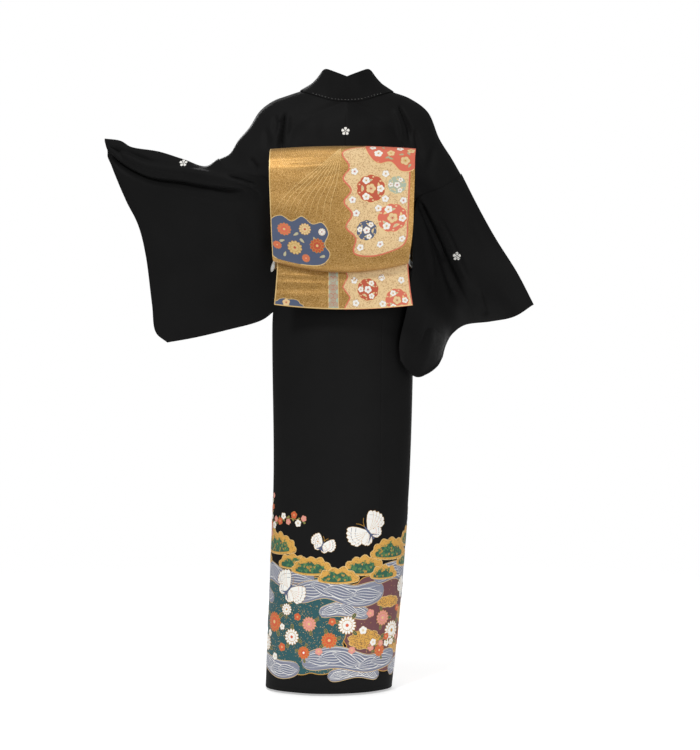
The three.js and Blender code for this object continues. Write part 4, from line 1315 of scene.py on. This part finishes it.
def on_cloth(names, way):
    """Places a flat drawing on the nearest cloth met from behind or in front."""
    shapes = []
    for name in names:
        mesh = bpy.data.objects[name + "_cloth"].data
        shapes.append(BVHTree.FromPolygons([v.co / MM for v in mesh.vertices],
                                           [p.vertices for p in mesh.polygons]))

    def place(across, up, lift):
        placed = []
        for x, z, high in zip(across, up, lift):
            hits = [tree.ray_cast(Vector((x, FAR * way, z)), Vector((0, -way, 0)))
                    for tree in shapes]
            hits = [hit for hit in hits if hit[0] is not None]
            if not hits:
                raise ValueError(f"no cloth at {x:.0f}, {z:.0f}")
            spot, normal = min(hits, key=lambda hit: hit[3])[:2]
            normal = normal if normal.y * way > 0 else -normal
            placed.append(spot + normal * high)
        return np.array(placed)
    return place


# ---------------------------------------------------------------- the hem's design
# Across is the distance round the skirt from the middle of the back towards the wearer's
# left; the whole way round is about 800. Up is the height.
HEM_BOX = (-246, -1300), (536, -880)
HEM_READ_AT = -1150  # the height at which the distance round the skirt is measured
HEM_CUTS = {"right": (-400, -110), "back": (-110, 110), "left": (110, 330), "front": (330, 700)}
FIELDS = [  # across, up, half width, half height, dye, seed
    (106, -1160, 124, 106, "teal", 21), (-136, -1158, 124, 106, "mauve", 22),
    (298, -1160, 92, 104, "mauve", 23), (462, -1160, 92, 106, "teal", 24)]
STREAMS = [  # the middle line, width, seed
    ([(250, -1062), (180, -1048), (112, -1066), (52, -1054)], 42, 1),
    ([(98, -1096), (30, -1080), (-40, -1096), (-104, -1082)], 44, 2),
    ([(-76, -1058), (-136, -1044), (-196, -1060), (-260, -1046)], 42, 3),
    ([(40, -1132), (-10, -1122), (-70, -1138)], 30, 4),
    ([(262, -1104), (210, -1096), (160, -1110)], 30, 5),
    ([(78, -1240), (4, -1226), (-72, -1242), (-150, -1228)], 42, 6),
    ([(20, -1268), (-44, -1260), (-104, -1269)], 24, 7),
    ([(-132, -1262), (-192, -1248), (-260, -1262)], 32, 8),
    ([(262, -1258), (196, -1244), (136, -1258), (84, -1252)], 34, 9),
    ([(250, -1090), (310, -1074), (372, -1090), (424, -1078)], 42, 10),
    ([(398, -1050), (450, -1036), (506, -1052), (560, -1042)], 42, 11),
    ([(326, -1124), (380, -1114), (434, -1130)], 28, 12),
    ([(262, -1260), (330, -1246), (398, -1260), (450, -1252)], 38, 13),
    ([(446, -1262), (500, -1250), (560, -1260)], 30, 14)]
BANKS = [  # across, up, width, height, seed
    (204, -972, 84, 32, 3), (150, -1004, 108, 36, 5), (216, -1030, 80, 28, 6),
    (104, -1036, 76, 24, 10), (58, -1046, 92, 30, 8), (0, -1064, 84, 26, 2),
    (-56, -1046, 92, 32, 4), (-104, -1058, 70, 22, 12), (-120, -1014, 100, 36, 7),
    (-176, -1034, 76, 26, 5), (-196, -990, 96, 36, 9), (-230, -1024, 60, 24, 1),
    (258, -1010, 92, 34, 11), (330, -1044, 96, 32, 12), (290, -1052, 80, 24, 3),
    (400, -1006, 104, 38, 13), (376, -1044, 70, 22, 7), (470, -1018, 92, 34, 14),
    (440, -1048, 76, 22, 6), (516, -984, 76, 32, 15)]
CLOUDS = [  # across, up, half width, half height, seed
    (-196, -1142, 44, 24, 31), (-62, -1190, 40, 22, 32), (-222, -1212, 34, 28, 33),
    (-160, -1214, 34, 14, 34), (-120, -1112, 34, 13, 38), (262, -1150, 42, 22, 35),
    (352, -1210, 38, 22, 36), (272, -1218, 32, 20, 37)]
FLOWERS = [  # across, up, radius, petals
    (156, -1158, 22, 16), (104, -1186, 18, 14), (62, -1156, 16, 14), (186, -1206, 18, 14),
    (74, -1218, 14, 12), (18, -1190, 17, 14), (-20, -1158, 20, 16), (-104, -1146, 17, 14),
    (-134, -1176, 22, 16), (-180, -1186, 15, 14), (-100, -1216, 14, 12), (214, -1164, 15, 14),
    (306, -1176, 23, 16), (344, -1148, 16, 14), (392, -1180, 18, 14), (440, -1152, 22, 16),
    (482, -1184, 17, 14), (516, -1150, 16, 14), (424, -1222, 15, 12), (500, -1222, 14, 12),
    (244, -1192, 13, 12), (-228, -1172, 15, 14), (316, -1226, 13, 12), (118, -1128, 13, 12)]
BLOSSOMS = [  # across, up, radius
    (130, -1210, 9), (198, -1136, 9), (40, -1214, 8), (90, -1142, 8), (-56, -1170, 9),
    (-72, -1134, 9), (-150, -1128, 8), (-120, -1202, 8), (-196, -1164, 8), (226, -1230, 8),
    (152, -1232, 8), (-32, -1212, 8), (372, -1152, 9), (460, -1206, 9), (286, -1142, 8),
    (408, -1202, 8), (338, -1198, 8), (524, -1200, 8), (-240, -1140, 8), (130, -1166, 7),
    (-76, -1208, 8), (12, -1150, 8), (174, -1184, 8)]
BUTTERFLIES = [  # across, up, size, turn, level
    (-62, -958, 84, 0.9, 8), (112, -1084, 78, 2.3, 14), (-178, -1092, 66, 1.9, 14),
    (34, -986, 50, 2.0, 8), (288, -962, 76, 1.2, 8), (446, -1098, 74, 2.0, 14),
    (368, -952, 52, 2.2, 8)]
SPRAYS = [  # the stem, its twigs, seed
    ([(196, -990), (176, -950), (130, -932), (74, -936)], 11, 31),
    ([(196, -975), (184, -930), (176, -884)], 8, 32),
    ([(-196, -990), (-206, -950), (-196, -916)], 7, 33),
    ([(318, -1010), (330, -960), (320, -914)], 8, 34),
    ([(500, -980), (488, -936), (506, -896)], 8, 35),
    ([(488, -984), (450, -948), (416, -938)], 7, 36),
    ([(-70, -1206), (-116, -1192), (-164, -1202), (-208, -1190)], 8, 37)]
FIELD_SPECKS = {"teal": 1500, "mauve": 300}
FLOWER_DYES = [("vermilion", "pale_gold"), ("white", "vermilion"), ("pink", "pale_gold"),
               ("white", "gold"), ("vermilion", "white")]


def hem_table():
    """The distance round the skirt from the middle of the back, for parts of a turn."""
    f = np.linspace(-0.4, 0.75, 461)
    steps = np.linalg.norm(np.diff(around(HEM_READ_AT, f, 0), axis=0), axis=1)
    run = np.concatenate([[0], np.cumsum(steps)])
    return run - np.interp(0, f, run), f


HEM_RUN = hem_table()


def on_skirt(run, z, lift):
    """Lays the hem's design over the skirt's ripples and across its seams."""
    f = np.interp(run, *HEM_RUN)
    return skirt_point(z, f, lift - seam_groove(f))


def hem_ground(d, part):
    for run, z, rx, rz, dye, seed in FIELDS:
        if part(run):
            outline = lobed(run, z, rx, rz, 15, 0.07, seed, square=4.5)
            d.edged(dye, "gold", outline, 1.6, seed % 2)
            for k, (px, pz) in enumerate(spots(outline, FIELD_SPECKS[dye], seed)):
                size = 0.4 + 0.5 * ((7 * k) % 5) / 5
                d.shape(("gold", "pale_gold")[k % 2], speck(px, pz, size, k), 2)
    for k, (points, width, seed) in enumerate(STREAMS):
        if part(points[1][0]):
            stream(d, points, width, 3 + 2.4 * (k % 3), seed)
    for k, (run, z, rx, rz, seed) in enumerate(CLOUDS):
        if part(run):
            cloud(d, run, z, rx, rz, 3 + 0.9 * (k % 3), seed)


def hem_banks(d, part):
    for k, row in enumerate(BANKS):
        if part(row[0]):
            bank(d, *row[:4], 11 + 2.2 * (k % 3), row[4])


def hem_flowers(d, part):
    for k, (run, z, r, petals) in enumerate(FLOWERS):
        if part(run):
            for turn in (0.6 + k, 2.5 + k, 4.2 + k):
                leaf(d, run + r * 0.72 * math.cos(turn), z + r * 0.72 * math.sin(turn), turn,
                     r * 0.8, "deep_green", "gold", 10 + 1.2 * (k % 3))
            dye, heart = FLOWER_DYES[k % 5]
            chrysanthemum(d, run, z, r, dye, heart, 14 + (k % 2) * 5, petals, k)
    for k, (run, z, r) in enumerate(BLOSSOMS):
        if part(run):
            blossom(d, run, z, r, BLOSSOM_DYES[k % 3], "pale_gold", 13 + k % 2, k)
    for row in BUTTERFLIES:
        if part(row[0]):
            butterfly(d, *row[:4], row[4] + 10)
    for points, count, seed in SPRAYS:
        if part(points[1][0]):
            spray(d, points, 15, count, seed)


# ---------------------------------------------------------------- the obi's design
# On the drum and the hanging end, across runs from 0 at the wearer's left edge to DRAWN at
# the right one, and up is the length along the sheet, counted down from its start.
DRAWN = 300


def on_sheet(sheet):
    """Places a drawing on a hanging sheet."""
    def place(across, up, lift):
        left, right = sheet.edges(-up)
        return sheet.lifted(left + (right - left) * across / DRAWN, -up, lift)
    return place


def on_band(across, up, lift):
    """Places a drawing on the obi's front."""
    return band_point(up, 0.5 + across / ROUND, OBI + lift)


def squiggles(d, outline, dye, count, level, seed):
    """Short curled threads all over an outline."""
    draw = random.Random(seed)
    for x, z in spots(outline, count, seed):
        turn, bend = draw.uniform(0, 6.3), draw.uniform(-1.6, 1.6)
        t = np.linspace(-1, 1, 4)
        a = turn + bend * t
        d.ribbon(dye, np.stack([x + 1.5 * t * np.cos(a), z + 1.5 * t * np.sin(a)], 1), 0.7, level)


def hexagons(d, outline, r, dye, level, width=0.8):
    """A net of linked hexagons, each with a smaller one inside."""
    low, high = outline.min(0), outline.max(0)
    a = np.linspace(0, 2 * np.pi, 7)[:-1] + np.pi / 2
    for row, z in enumerate(np.arange(low[1], high[1], 1.5 * r)):
        for x in np.arange(low[0] + r * 0.87 * (row % 2), high[0], 1.73 * r):
            cell = np.stack([np.cos(a), np.sin(a)], 1)
            if inside(cell * r * 0.5 + (x, z), outline).all():
                for size in (0.94, 0.5):
                    d.ribbon(dye, cell * r * size + (x, z), width, level, closed=True)
                d.shape(dye, lobed(x, z, r * 0.16, r * 0.16, 0), level)


def roundel(d, x, z, r, level, seed, dye, inner="white"):
    """A lobed disc filled with blossoms, leaves and small scrolls round a larger blossom."""
    d.edged(dye, "pale_gold", lobed(x, z, r, r, 10, 0.08, seed), 0.9, level)
    for k in range(9):
        a = seed + 2 * math.pi * k / 9
        px, pz = x + r * 0.66 * math.cos(a), z + r * 0.66 * math.sin(a)
        if k % 3 == 0:
            blossom(d, px, pz, r * 0.26, inner, "gold", level + 2, a)
        else:
            leaf(d, px, pz, a + (2.1, -2.1)[k % 2], r * 0.36, ("mist_green", "cream")[k % 2],
                 "pale_gold", level + 1)
            d.shape("cream", speck(x + r * 0.84 * math.cos(a), z + r * 0.84 * math.sin(a),
                                   r * 0.06), level + 1)
    blossom(d, x, z, r * 0.34, ("cream", "white")[seed % 2], "rust", level + 2.6, seed)


def smooth(points, count=91):
    """A closed outline drawn smoothly through a few points."""
    line = Line([(x, 0, z) for x, z in points], closed=True)
    return line.at(np.linspace(0, 1, count)[:-1])[:, [0, 2]]


def drum_design(d):
    """A field of roundels, a cloud of blossoms, a field of chrysanthemums and fanned lines."""
    field = smooth([(150, -180), (166, -214), (152, -236), (170, -262), (154, -286), (172, -312),
                    (158, -338), (180, -362), (176, -392), (214, -402), (252, -398), (284, -386),
                    (288, -330), (289, -260), (290, -196), (292, -160), (230, -158), (186, -160)])
    d.edged("cream", "coral", field, 3.2, 0)
    squiggles(d, field, "tan", 2600, 0.8, 3)
    top = smooth([(196, -150), (204, -184), (224, -204), (250, -200), (272, -220), (299, -214),
                  (299, -146), (250, -143), (214, -144)], 61)
    d.edged("coral", "pale_gold", top, 1.6, 2)
    for x, z, r in ((224, -180, 9), (250, -178, 8), (280, -196, 10), (268, -162, 7.5),
                    (291, -168, 8), (212, -162, 7)):
        blossom(d, x, z, r, ("cream", "white")[int(r) % 2], "gold", 4, r)
    for x, z, turn in ((238, -192, 0.4), (236, -166, 2.0), (286, -212, 1.0), (256, -194, 2.8),
                       (266, -182, 0.2), (290, -182, 2.2)):
        leaf(d, x, z, turn, 10, "mist_green", "gold", 3.2)
    for k, (x, z, r) in enumerate(((210, -258, 30), (264, -250, 20), (256, -322, 32),
                                   (202, -346, 22))):
        roundel(d, x, z, r, 3, k, ("rust", "mist_green", "coral", "slate_blue")[k])
    for k, (x, z) in enumerate(((176, -222), (240, -226), (278, -284), (226, -300), (180, -310),
                                (278, -372), (232, -378), (190, -382), (172, -282), (240, -280))):
        blossom(d, x, z, 7.5, "white", ("rust", "gold")[k % 2], 4, k, rim="tan")
    corner = smooth([(0, -330), (22, -318), (44, -330), (66, -318), (88, -334), (108, -330),
                     (122, -352), (114, -376), (126, -396), (112, -418), (60, -426), (0, -420)])
    d.edged("slate_blue", "pale_gold", corner, 1.6, 1)
    hexagons(d, corner, 9, "slate", 2, 0.6)
    for k, (x, z, r) in enumerate(((28, -350, 15), (72, -346, 13), (98, -380, 16), (50, -390, 16),
                                   (12, -392, 10), (108, -350, 8), (74, -410, 9))):
        chrysanthemum(d, x, z, r, ("coral", "cream", "rust", "pale_gold", "coral", "white",
                                   "coral")[k], ("pale_gold", "rust")[k % 2], 4, 12, k)
    for k, (x, z, turn) in enumerate(((48, -362, 0.6), (90, -362, 5.2), (28, -376, 3.6),
                                      (70, -376, 2.4), (104, -404, 0.3), (30, -404, 4.4))):
        leaf(d, x, z, turn, 11, "mist_green", "pale_gold", 3)
    for k in range(9):
        s = k / 8
        arc = Line([(8 + 116 * s, 0, -312 - 14 * s * s), (30 + 98 * s, 0, -276 - 8 * s),
                    (78 + 62 * s, 0, -232 - 10 * s), (120 + 26 * s, 0, -196 - 2 * s),
                    (148 - 2 * s, 0, -164)])
        d.ribbon("pale_gold", arc.at(np.linspace(0, 1, 40))[:, [0, 2]],
                 0.7 * np.sin(np.linspace(0.3, 2.8, 40)) + 0.1, 0.5)
    d.ribbon("pale_gold", [(0.8, -150), (0.8, -424)], 1.6, 3)


def tail_design(d):
    """Two roundels on the drum's field, and a strip of hexagons."""
    field = np.array([(150, -70), (162, -96), (150, -118), (166, -140), (152, -164), (299, -164),
                      (299, -70)])
    d.edged("cream", "coral", field, 2.6, 0)
    squiggles(d, field, "tan", 1000, 0.8, 5)
    band = np.array([(118, -70), (140, -70), (140, -164), (118, -164)])
    d.edged("mist_green", "pale_gold", band, 1.2, 0.5)
    hexagons(d, band, 6, "rust", 1.4)
    roundel(d, 206, -124, 24, 3, 1, "rust")
    roundel(d, 268, -150, 26, 3, 2, "coral")
    for k, (x, z) in enumerate(((178, -152), (238, -100), (282, -108), (236, -156), (176, -104))):
        blossom(d, x, z, 7.5, "white", "gold", 4, k, rim="tan")
    d.edged("slate_blue", "pale_gold", lobed(30, -166, 36, 20, 7, 0.16, 1), 1.2, 1)
    blossom(d, 26, -156, 8, "cream", "rust", 2.4, 0.4)
    for line in ([(1.4, -60), (1.4, -164)], [(1, -163.4), (299, -163.4)]):
        d.ribbon("pale_gold", line, 2.0, 6)


def band_design(d):
    """Five lobed clouds in a row, each with a roundel."""
    for k, (x, rx) in enumerate(((-150, 46), (-66, 40), (22, 46), (112, 42), (188, 34))):
        tone = ("cream", "coral", "cream", "slate_blue", "cream")[k]
        z = -314 + 26 * (-1) ** k
        outline = lobed(x, z, rx, 38, 9, 0.14, k)
        d.edged(tone, ("coral", "pale_gold")[tone != "cream"], outline, 1.8, 0.6 * (k % 2))
        if tone == "cream":
            squiggles(d, outline, "tan", 460, 1.6, k)
        roundel(d, x + 4, z + 4, 19, 3, k, ("rust", "cream", "mist_green", "coral", "rust")[k],
                ("white", "rust")[k % 3 == 1])
        for m in (-1, 1):
            blossom(d, x + m * rx * 0.7, z - m * 14, 6.5, "white", "gold", 4, k + m, rim="tan")


# ---------------------------------------------------------------- settings
class KimonoSettings(PropertyGroup):
    silk: FloatVectorProperty(
        name="Silk", description="Colour of the black silk", subtype="COLOR", size=3,
        min=0, max=1, default=(0.0078, 0.0078, 0.0079))
    silk_painted_sheen: FloatVectorProperty(
        # Silk highlight: a painted sheen colour that the crepe blends in at random blotches.
        name="Silk highlight", description="Colour where the crepe catches the light",
        subtype="COLOR", size=3, min=0, max=1, default=(0.0122, 0.0121, 0.0122))
    ripple: FloatProperty(
        name="Skirt ripple", description="Height of the skirt's undulations, in millimetres",
        default=0.9, min=0, max=3)
    crest: FloatProperty(
        name="Crest size", description="Width of the five roundels", default=0.018,
        min=0.01, max=0.04, unit="LENGTH")


class ObiSettings(PropertyGroup):
    gold: FloatVectorProperty(
        name="Gold", description="Colour of the brocade's gold thread", subtype="COLOR", size=3,
        min=0, max=1, default=colour("#a97f3a"))


class StageSettings(PropertyGroup):
    floor: FloatProperty(
        name="Floor height", description="Height of the floor in the part's frame",
        default=-1.31, unit="LENGTH")
    distance: FloatProperty(
        name="Camera distance", description="From the camera to the middle of the body",
        default=3.9, min=1, unit="LENGTH")
    ambient: FloatProperty(
        name="Ambient light", description="Strength of the even light all round", default=0.27,
        min=0, max=2)


# ---------------------------------------------------------------- operators
SKIRT_FLAT = {"skirt_back_left": (0.29, 0.93), "skirt_front_left": (0.23, 0.93),
              "overlap_left_skirt": (0.155, 0.93), "skirt_back_right": (0.27, 0.93),
              "skirt_front_right": (0.25, 0.93), "overlap_right_skirt": (0.14, 0.93)}


class KIMONO_OT_bodice(Operator):
    """Upper body panels, over the shoulders, with the rolled fold of the waist tuck"""
    bl_idname = "kimono.bodice"
    bl_label = "Bodice"

    def execute(self, context):
        for side in ("left", "right"):
            outer, inner = bodice_grid(side)
            piece = add_wall("bodice_" + side, outer, inner, finish_of("crepe"),
                             slot="black_silk")
            outer, inner = overlap_top_grid(side)
            piece = add_wall(f"overlap_{side}_top", outer, inner, finish_of("crepe"),
                             slot="black_silk")
        return {"FINISHED"}


class KIMONO_OT_skirt(Operator):
    """Lower body panels and overlaps, wrapped left over right"""
    bl_idname = "kimono.skirt"
    bl_label = "Skirt"

    def execute(self, context):
        for name, flat in SKIRT_FLAT.items():
            outer, inner = skirt_grids(name)
            piece = add_wall(name, outer, inner, finish_of("crepe"), slot="figured_silk")
        return {"FINISHED"}


class KIMONO_OT_collar(Operator):
    """Folded collar with its cover"""
    bl_idname = "kimono.collar"
    bl_label = "Collar"

    def execute(self, context):
        face = collar_grid()
        outer = moved(face, PLY)
        cover = moved(outer, COVER_AIR)
        silk = finish_of("crepe")
        piece = add_wall("collar", outer, moved(outer, -COLLAR), silk, slot="black_silk")
        piece = add_wall("over_collar", moved(cover, COVER), cover, silk, slot="black_silk")
        return {"FINISHED"}


class KIMONO_OT_sleeves(Operator):
    """Both sleeves, each one folded cloth, the left held out and the right hanging"""
    bl_idname = "kimono.sleeves"
    bl_label = "Sleeves"

    def execute(self, context):
        for side, area in (("left", 0.27), ("right", 0.22)):
            outer, inner = sleeve_grid(side)
            piece = add_wall("sleeve_" + side, outer, inner, finish_of("crepe"),
                             slot="black_silk")
        return {"FINISHED"}


class KIMONO_OT_obi(Operator):
    """The wound obi, its drum, hanging end and folded hand"""
    bl_idname = "kimono.obi"
    bl_label = "Obi"

    def execute(self, context):
        gold = finish_of("brocade")
        f = np.linspace(0, 1, 241)[:-1]
        z = np.linspace(OBI_TOP, OBI_FOOT, 40)
        zz, ff = np.meshgrid(z, f, indexing="ij")
        piece = add_wall("obi_band", band_point(zz, ff, OBI), band_point(zz, ff, 0), gold,
                         closed=True, slot="gold_brocade")
        for name, sheet, columns, rows, flat, held in (
                ("obi_drum", DRUM_SHEET, 70, 150, (0.31, 0.56), "folded"),
                ("obi_tail", TAIL_SHEET, 80, 70, (0.31, 0.17), "hung"),
                ("obi_hand", HAND_SHEET, 30, 12, (0.28, 0.1), "folded")):
            outer, inner = sheet.grids(columns, rows)
            piece = add_wall(name, outer, inner, gold, slot="gold_brocade")
        return {"FINISHED"}


class KIMONO_OT_braid(Operator):
    """The flat braid that holds the drum, and its knot in front"""
    bl_idname = "kimono.braid"
    bl_label = "Braid"

    def execute(self, context):
        for name, (points, faces) in (("obi_cord", cord_mesh()), ("obi_cord_knot", knot_mesh())):
            add_mesh(name + "_braid", points, faces.tolist(), [finish_of("braid")],
                     replaces=(name,), slot="white_braid")
        return {"FINISHED"}


class KIMONO_OT_hem(Operator):
    """Dyed and gold-outlined design round the skirt's hem"""
    bl_idname = "kimono.hem"
    bl_label = "Hem design"

    def execute(self, context):
        for where, (low, high) in HEM_CUTS.items():
            for name, draw in (("ground", hem_ground), ("banks", hem_banks),
                               ("flowers", hem_flowers)):
                d = Drawing(*HEM_BOX)
                draw(d, lambda run: low <= run < high)
                d.lay(f"hem_{name}_{where}", on_skirt)
        return {"FINISHED"}


class KIMONO_OT_obi_design(Operator):
    """Woven design of the obi's drum, its hanging end and its front"""
    bl_idname = "kimono.obi_design"
    bl_label = "Obi design"

    def execute(self, context):
        for name, draw, surface, low, high in (
                ("drum", drum_design, on_sheet(DRUM_SHEET), (0, -426), (DRAWN, -142)),
                ("tail", tail_design, on_sheet(TAIL_SHEET), (0, -164.4), (DRAWN, -66)),
                ("front", band_design, on_band, (-210, OBI_FOOT + 1), (220, OBI_TOP - 1))):
            d = Drawing(low, high, grain=2.8 if name == "tail" else 4.0)
            draw(d)
            d.lay("obi_design_" + name, surface, slot="gold_brocade")
        return {"FINISHED"}


class KIMONO_OT_crests(Operator):
    """Five small petal roundels and the row of stitches under the collar"""
    bl_idname = "kimono.crests"
    bl_label = "Crests and stitches"

    def execute(self, context):
        r = context.scene.kimono.crest / MM / 2
        for name, x, z, way, on in CRESTS:
            d = Drawing(*EVERYWHERE)
            for k in range(5):
                turn = math.pi * (0.5 + 0.4 * k)
                d.shape("white", petal(x, z, turn, r * 0.22, r * 0.78, r * 0.86), 1)
            d.shape("white", lobed(x, z, r * 0.15, r * 0.15, 0), 1)
            d.lay("crest_" + name, on_cloth(on, way), slot="black_silk")
        d = Drawing(*EVERYWHERE)
        every, long, wide, low = STITCHES
        for side in ("left", "right"):
            line = Line(from_neck(side, NAPE + NECKLINE)).points
            steps = np.cumsum(np.linalg.norm(np.diff(line[:, [0, 2]], axis=0), axis=1))
            for run in np.arange(*STITCHED, every):
                (x, _, z), (x1, _, z1) = line[np.searchsorted(steps, [run, run + long])]
                d.ribbon("thread", [(x, z + low), (x1, z1 + low)], wide, 1)
        d.lay("collar_stitches", on_cloth(("collar", "over_collar"), 1), slot="black_silk")
        return {"FINISHED"}


FLOOR_REACH, FLOOR_SIDES = 7, 96
LENS, SENSOR, SHIFT = 85.1, 36, 5 / 750
EYE_HEIGHT, AIM_HEIGHT = -0.623, -0.6
LIGHTS = [  # name, place in metres, width, watts
    ("key", (1.7, 3.4, 2.2), 1.0, 80), ("fill", (-1.5, 3.8, 0.0), 2.0, 40),
    ("top", (0.2, 0.9, 2.6), 1.4, 20), ("front", (1.2, -3.7, 1.4), 1.4, 66),
    ("front_fill", (-1.2, -3.8, 0.0), 2.0, 34)]


class KIMONO_OT_stage(Operator):
    """Pale floor, soft light all round and the camera behind the garment"""
    bl_idname = "kimono.stage"
    bl_label = "Stage"

    def execute(self, context):
        stage = context.scene.stage_settings
        mesh = bpy.data.meshes.new("floor")
        a = np.linspace(0, 2 * np.pi, FLOOR_SIDES + 1)[:-1]
        ring = [(FLOOR_REACH * math.cos(t), FLOOR_REACH * math.sin(t), stage.floor) for t in a]
        mesh.from_pydata(ring, [], [list(range(FLOOR_SIDES))])
        floor = bpy.data.objects.new("floor", mesh)
        context.scene.collection.objects.link(floor)
        s = Shader("pale_floor", roughness=0.9, specular_ior_level=0.1, emission_strength=0.45,
                   emission_color=(1, 1, 1, 1), base_color=(0.9, 0.9, 0.9, 1))
        reach = s.node("VectorMath", {"operation": "LENGTH"}, {0: s.place((1, 1, 0))}, out=1)
        fade = s.node("MapRange", {"interpolation_type": "SMOOTHSTEP"},
                      {0: reach, 1: 0.7, 2: 2.6, 3: 1.0, 4: 0.0})
        mesh.materials.append(s.finish(alpha=fade))
        world = bpy.data.worlds.new("studio")
        world.use_nodes = True
        nodes, links = world.node_tree.nodes, world.node_tree.links
        lit, seen = nodes["Background"], nodes.new("ShaderNodeBackground")
        path, either = nodes.new("ShaderNodeLightPath"), nodes.new("ShaderNodeMixShader")
        lit.inputs[0].default_value = seen.inputs[0].default_value = (1, 1, 1, 1)
        lit.inputs[1].default_value = stage.ambient
        for source, target in ((path, either.inputs[0]), (lit, either.inputs[1]),
                               (seen, either.inputs[2]),
                               (either, nodes["World Output"].inputs[0])):
            links.new(source.outputs[0], target)
        context.scene.world = world
        for name, at, size, watts in LIGHTS:
            light = bpy.data.lights.new(name, "AREA")
            light.shape, light.size, light.energy = "DISK", size, watts
            lamp = bpy.data.objects.new(name, light)
            lamp.location = at
            aim = Vector((0, 0, AIM_HEIGHT)) - Vector(at)
            lamp.rotation_euler = aim.to_track_quat("-Z", "Y").to_euler()
            context.scene.collection.objects.link(lamp)
        camera = bpy.data.cameras.new("camera")
        camera.lens, camera.sensor_width, camera.shift_x = LENS, SENSOR, SHIFT
        eye = bpy.data.objects.new("camera", camera)
        eye.location = (0, stage.distance, EYE_HEIGHT)
        eye.rotation_euler = (math.radians(90), 0, math.radians(180))
        context.scene.collection.objects.link(eye)
        context.scene.camera = eye
        context.scene.view_settings.view_transform = "Standard"
        return {"FINISHED"}


OPERATORS = [
    KIMONO_OT_bodice, KIMONO_OT_skirt, KIMONO_OT_collar, KIMONO_OT_sleeves, KIMONO_OT_obi,
    KIMONO_OT_braid, KIMONO_OT_hem, KIMONO_OT_obi_design, KIMONO_OT_crests, KIMONO_OT_stage]


class KIMONO_PT_panel(Panel):
    """Sizes and colours, then one button for each group of pieces"""
    bl_idname = "KIMONO_PT_panel"
    bl_label = "Kimono"
    bl_space_type = "VIEW_3D"
    bl_region_type = "UI"
    bl_category = "Kimono"

    def draw(self, context):
        for group in GROUPS:
            settings = getattr(context.scene, group)
            for name in settings.bl_rna.properties.keys():
                if name not in ("rna_type", "name"):
                    self.layout.prop(settings, name)
        for operator in OPERATORS:
            self.layout.operator(operator.bl_idname)


GROUPS = {"kimono": KimonoSettings, "obi": ObiSettings, "stage_settings": StageSettings}
CLASSES = [*GROUPS.values(), *OPERATORS, KIMONO_PT_panel]


def register():
    for kind in CLASSES:
        bpy.utils.register_class(kind)
    for name, kind in GROUPS.items():
        setattr(bpy.types.Scene, name, PointerProperty(type=kind))


def unregister():
    for name in GROUPS:
        delattr(bpy.types.Scene, name)
    for kind in reversed(CLASSES):
        bpy.utils.unregister_class(kind)


def main():
    register()
    for operator in OPERATORS:
        group, name = operator.bl_idname.split(".")
        getattr(getattr(bpy.ops, group), name)()
    bpy.context.view_layer.update()


if __name__ == "__main__":
    main()
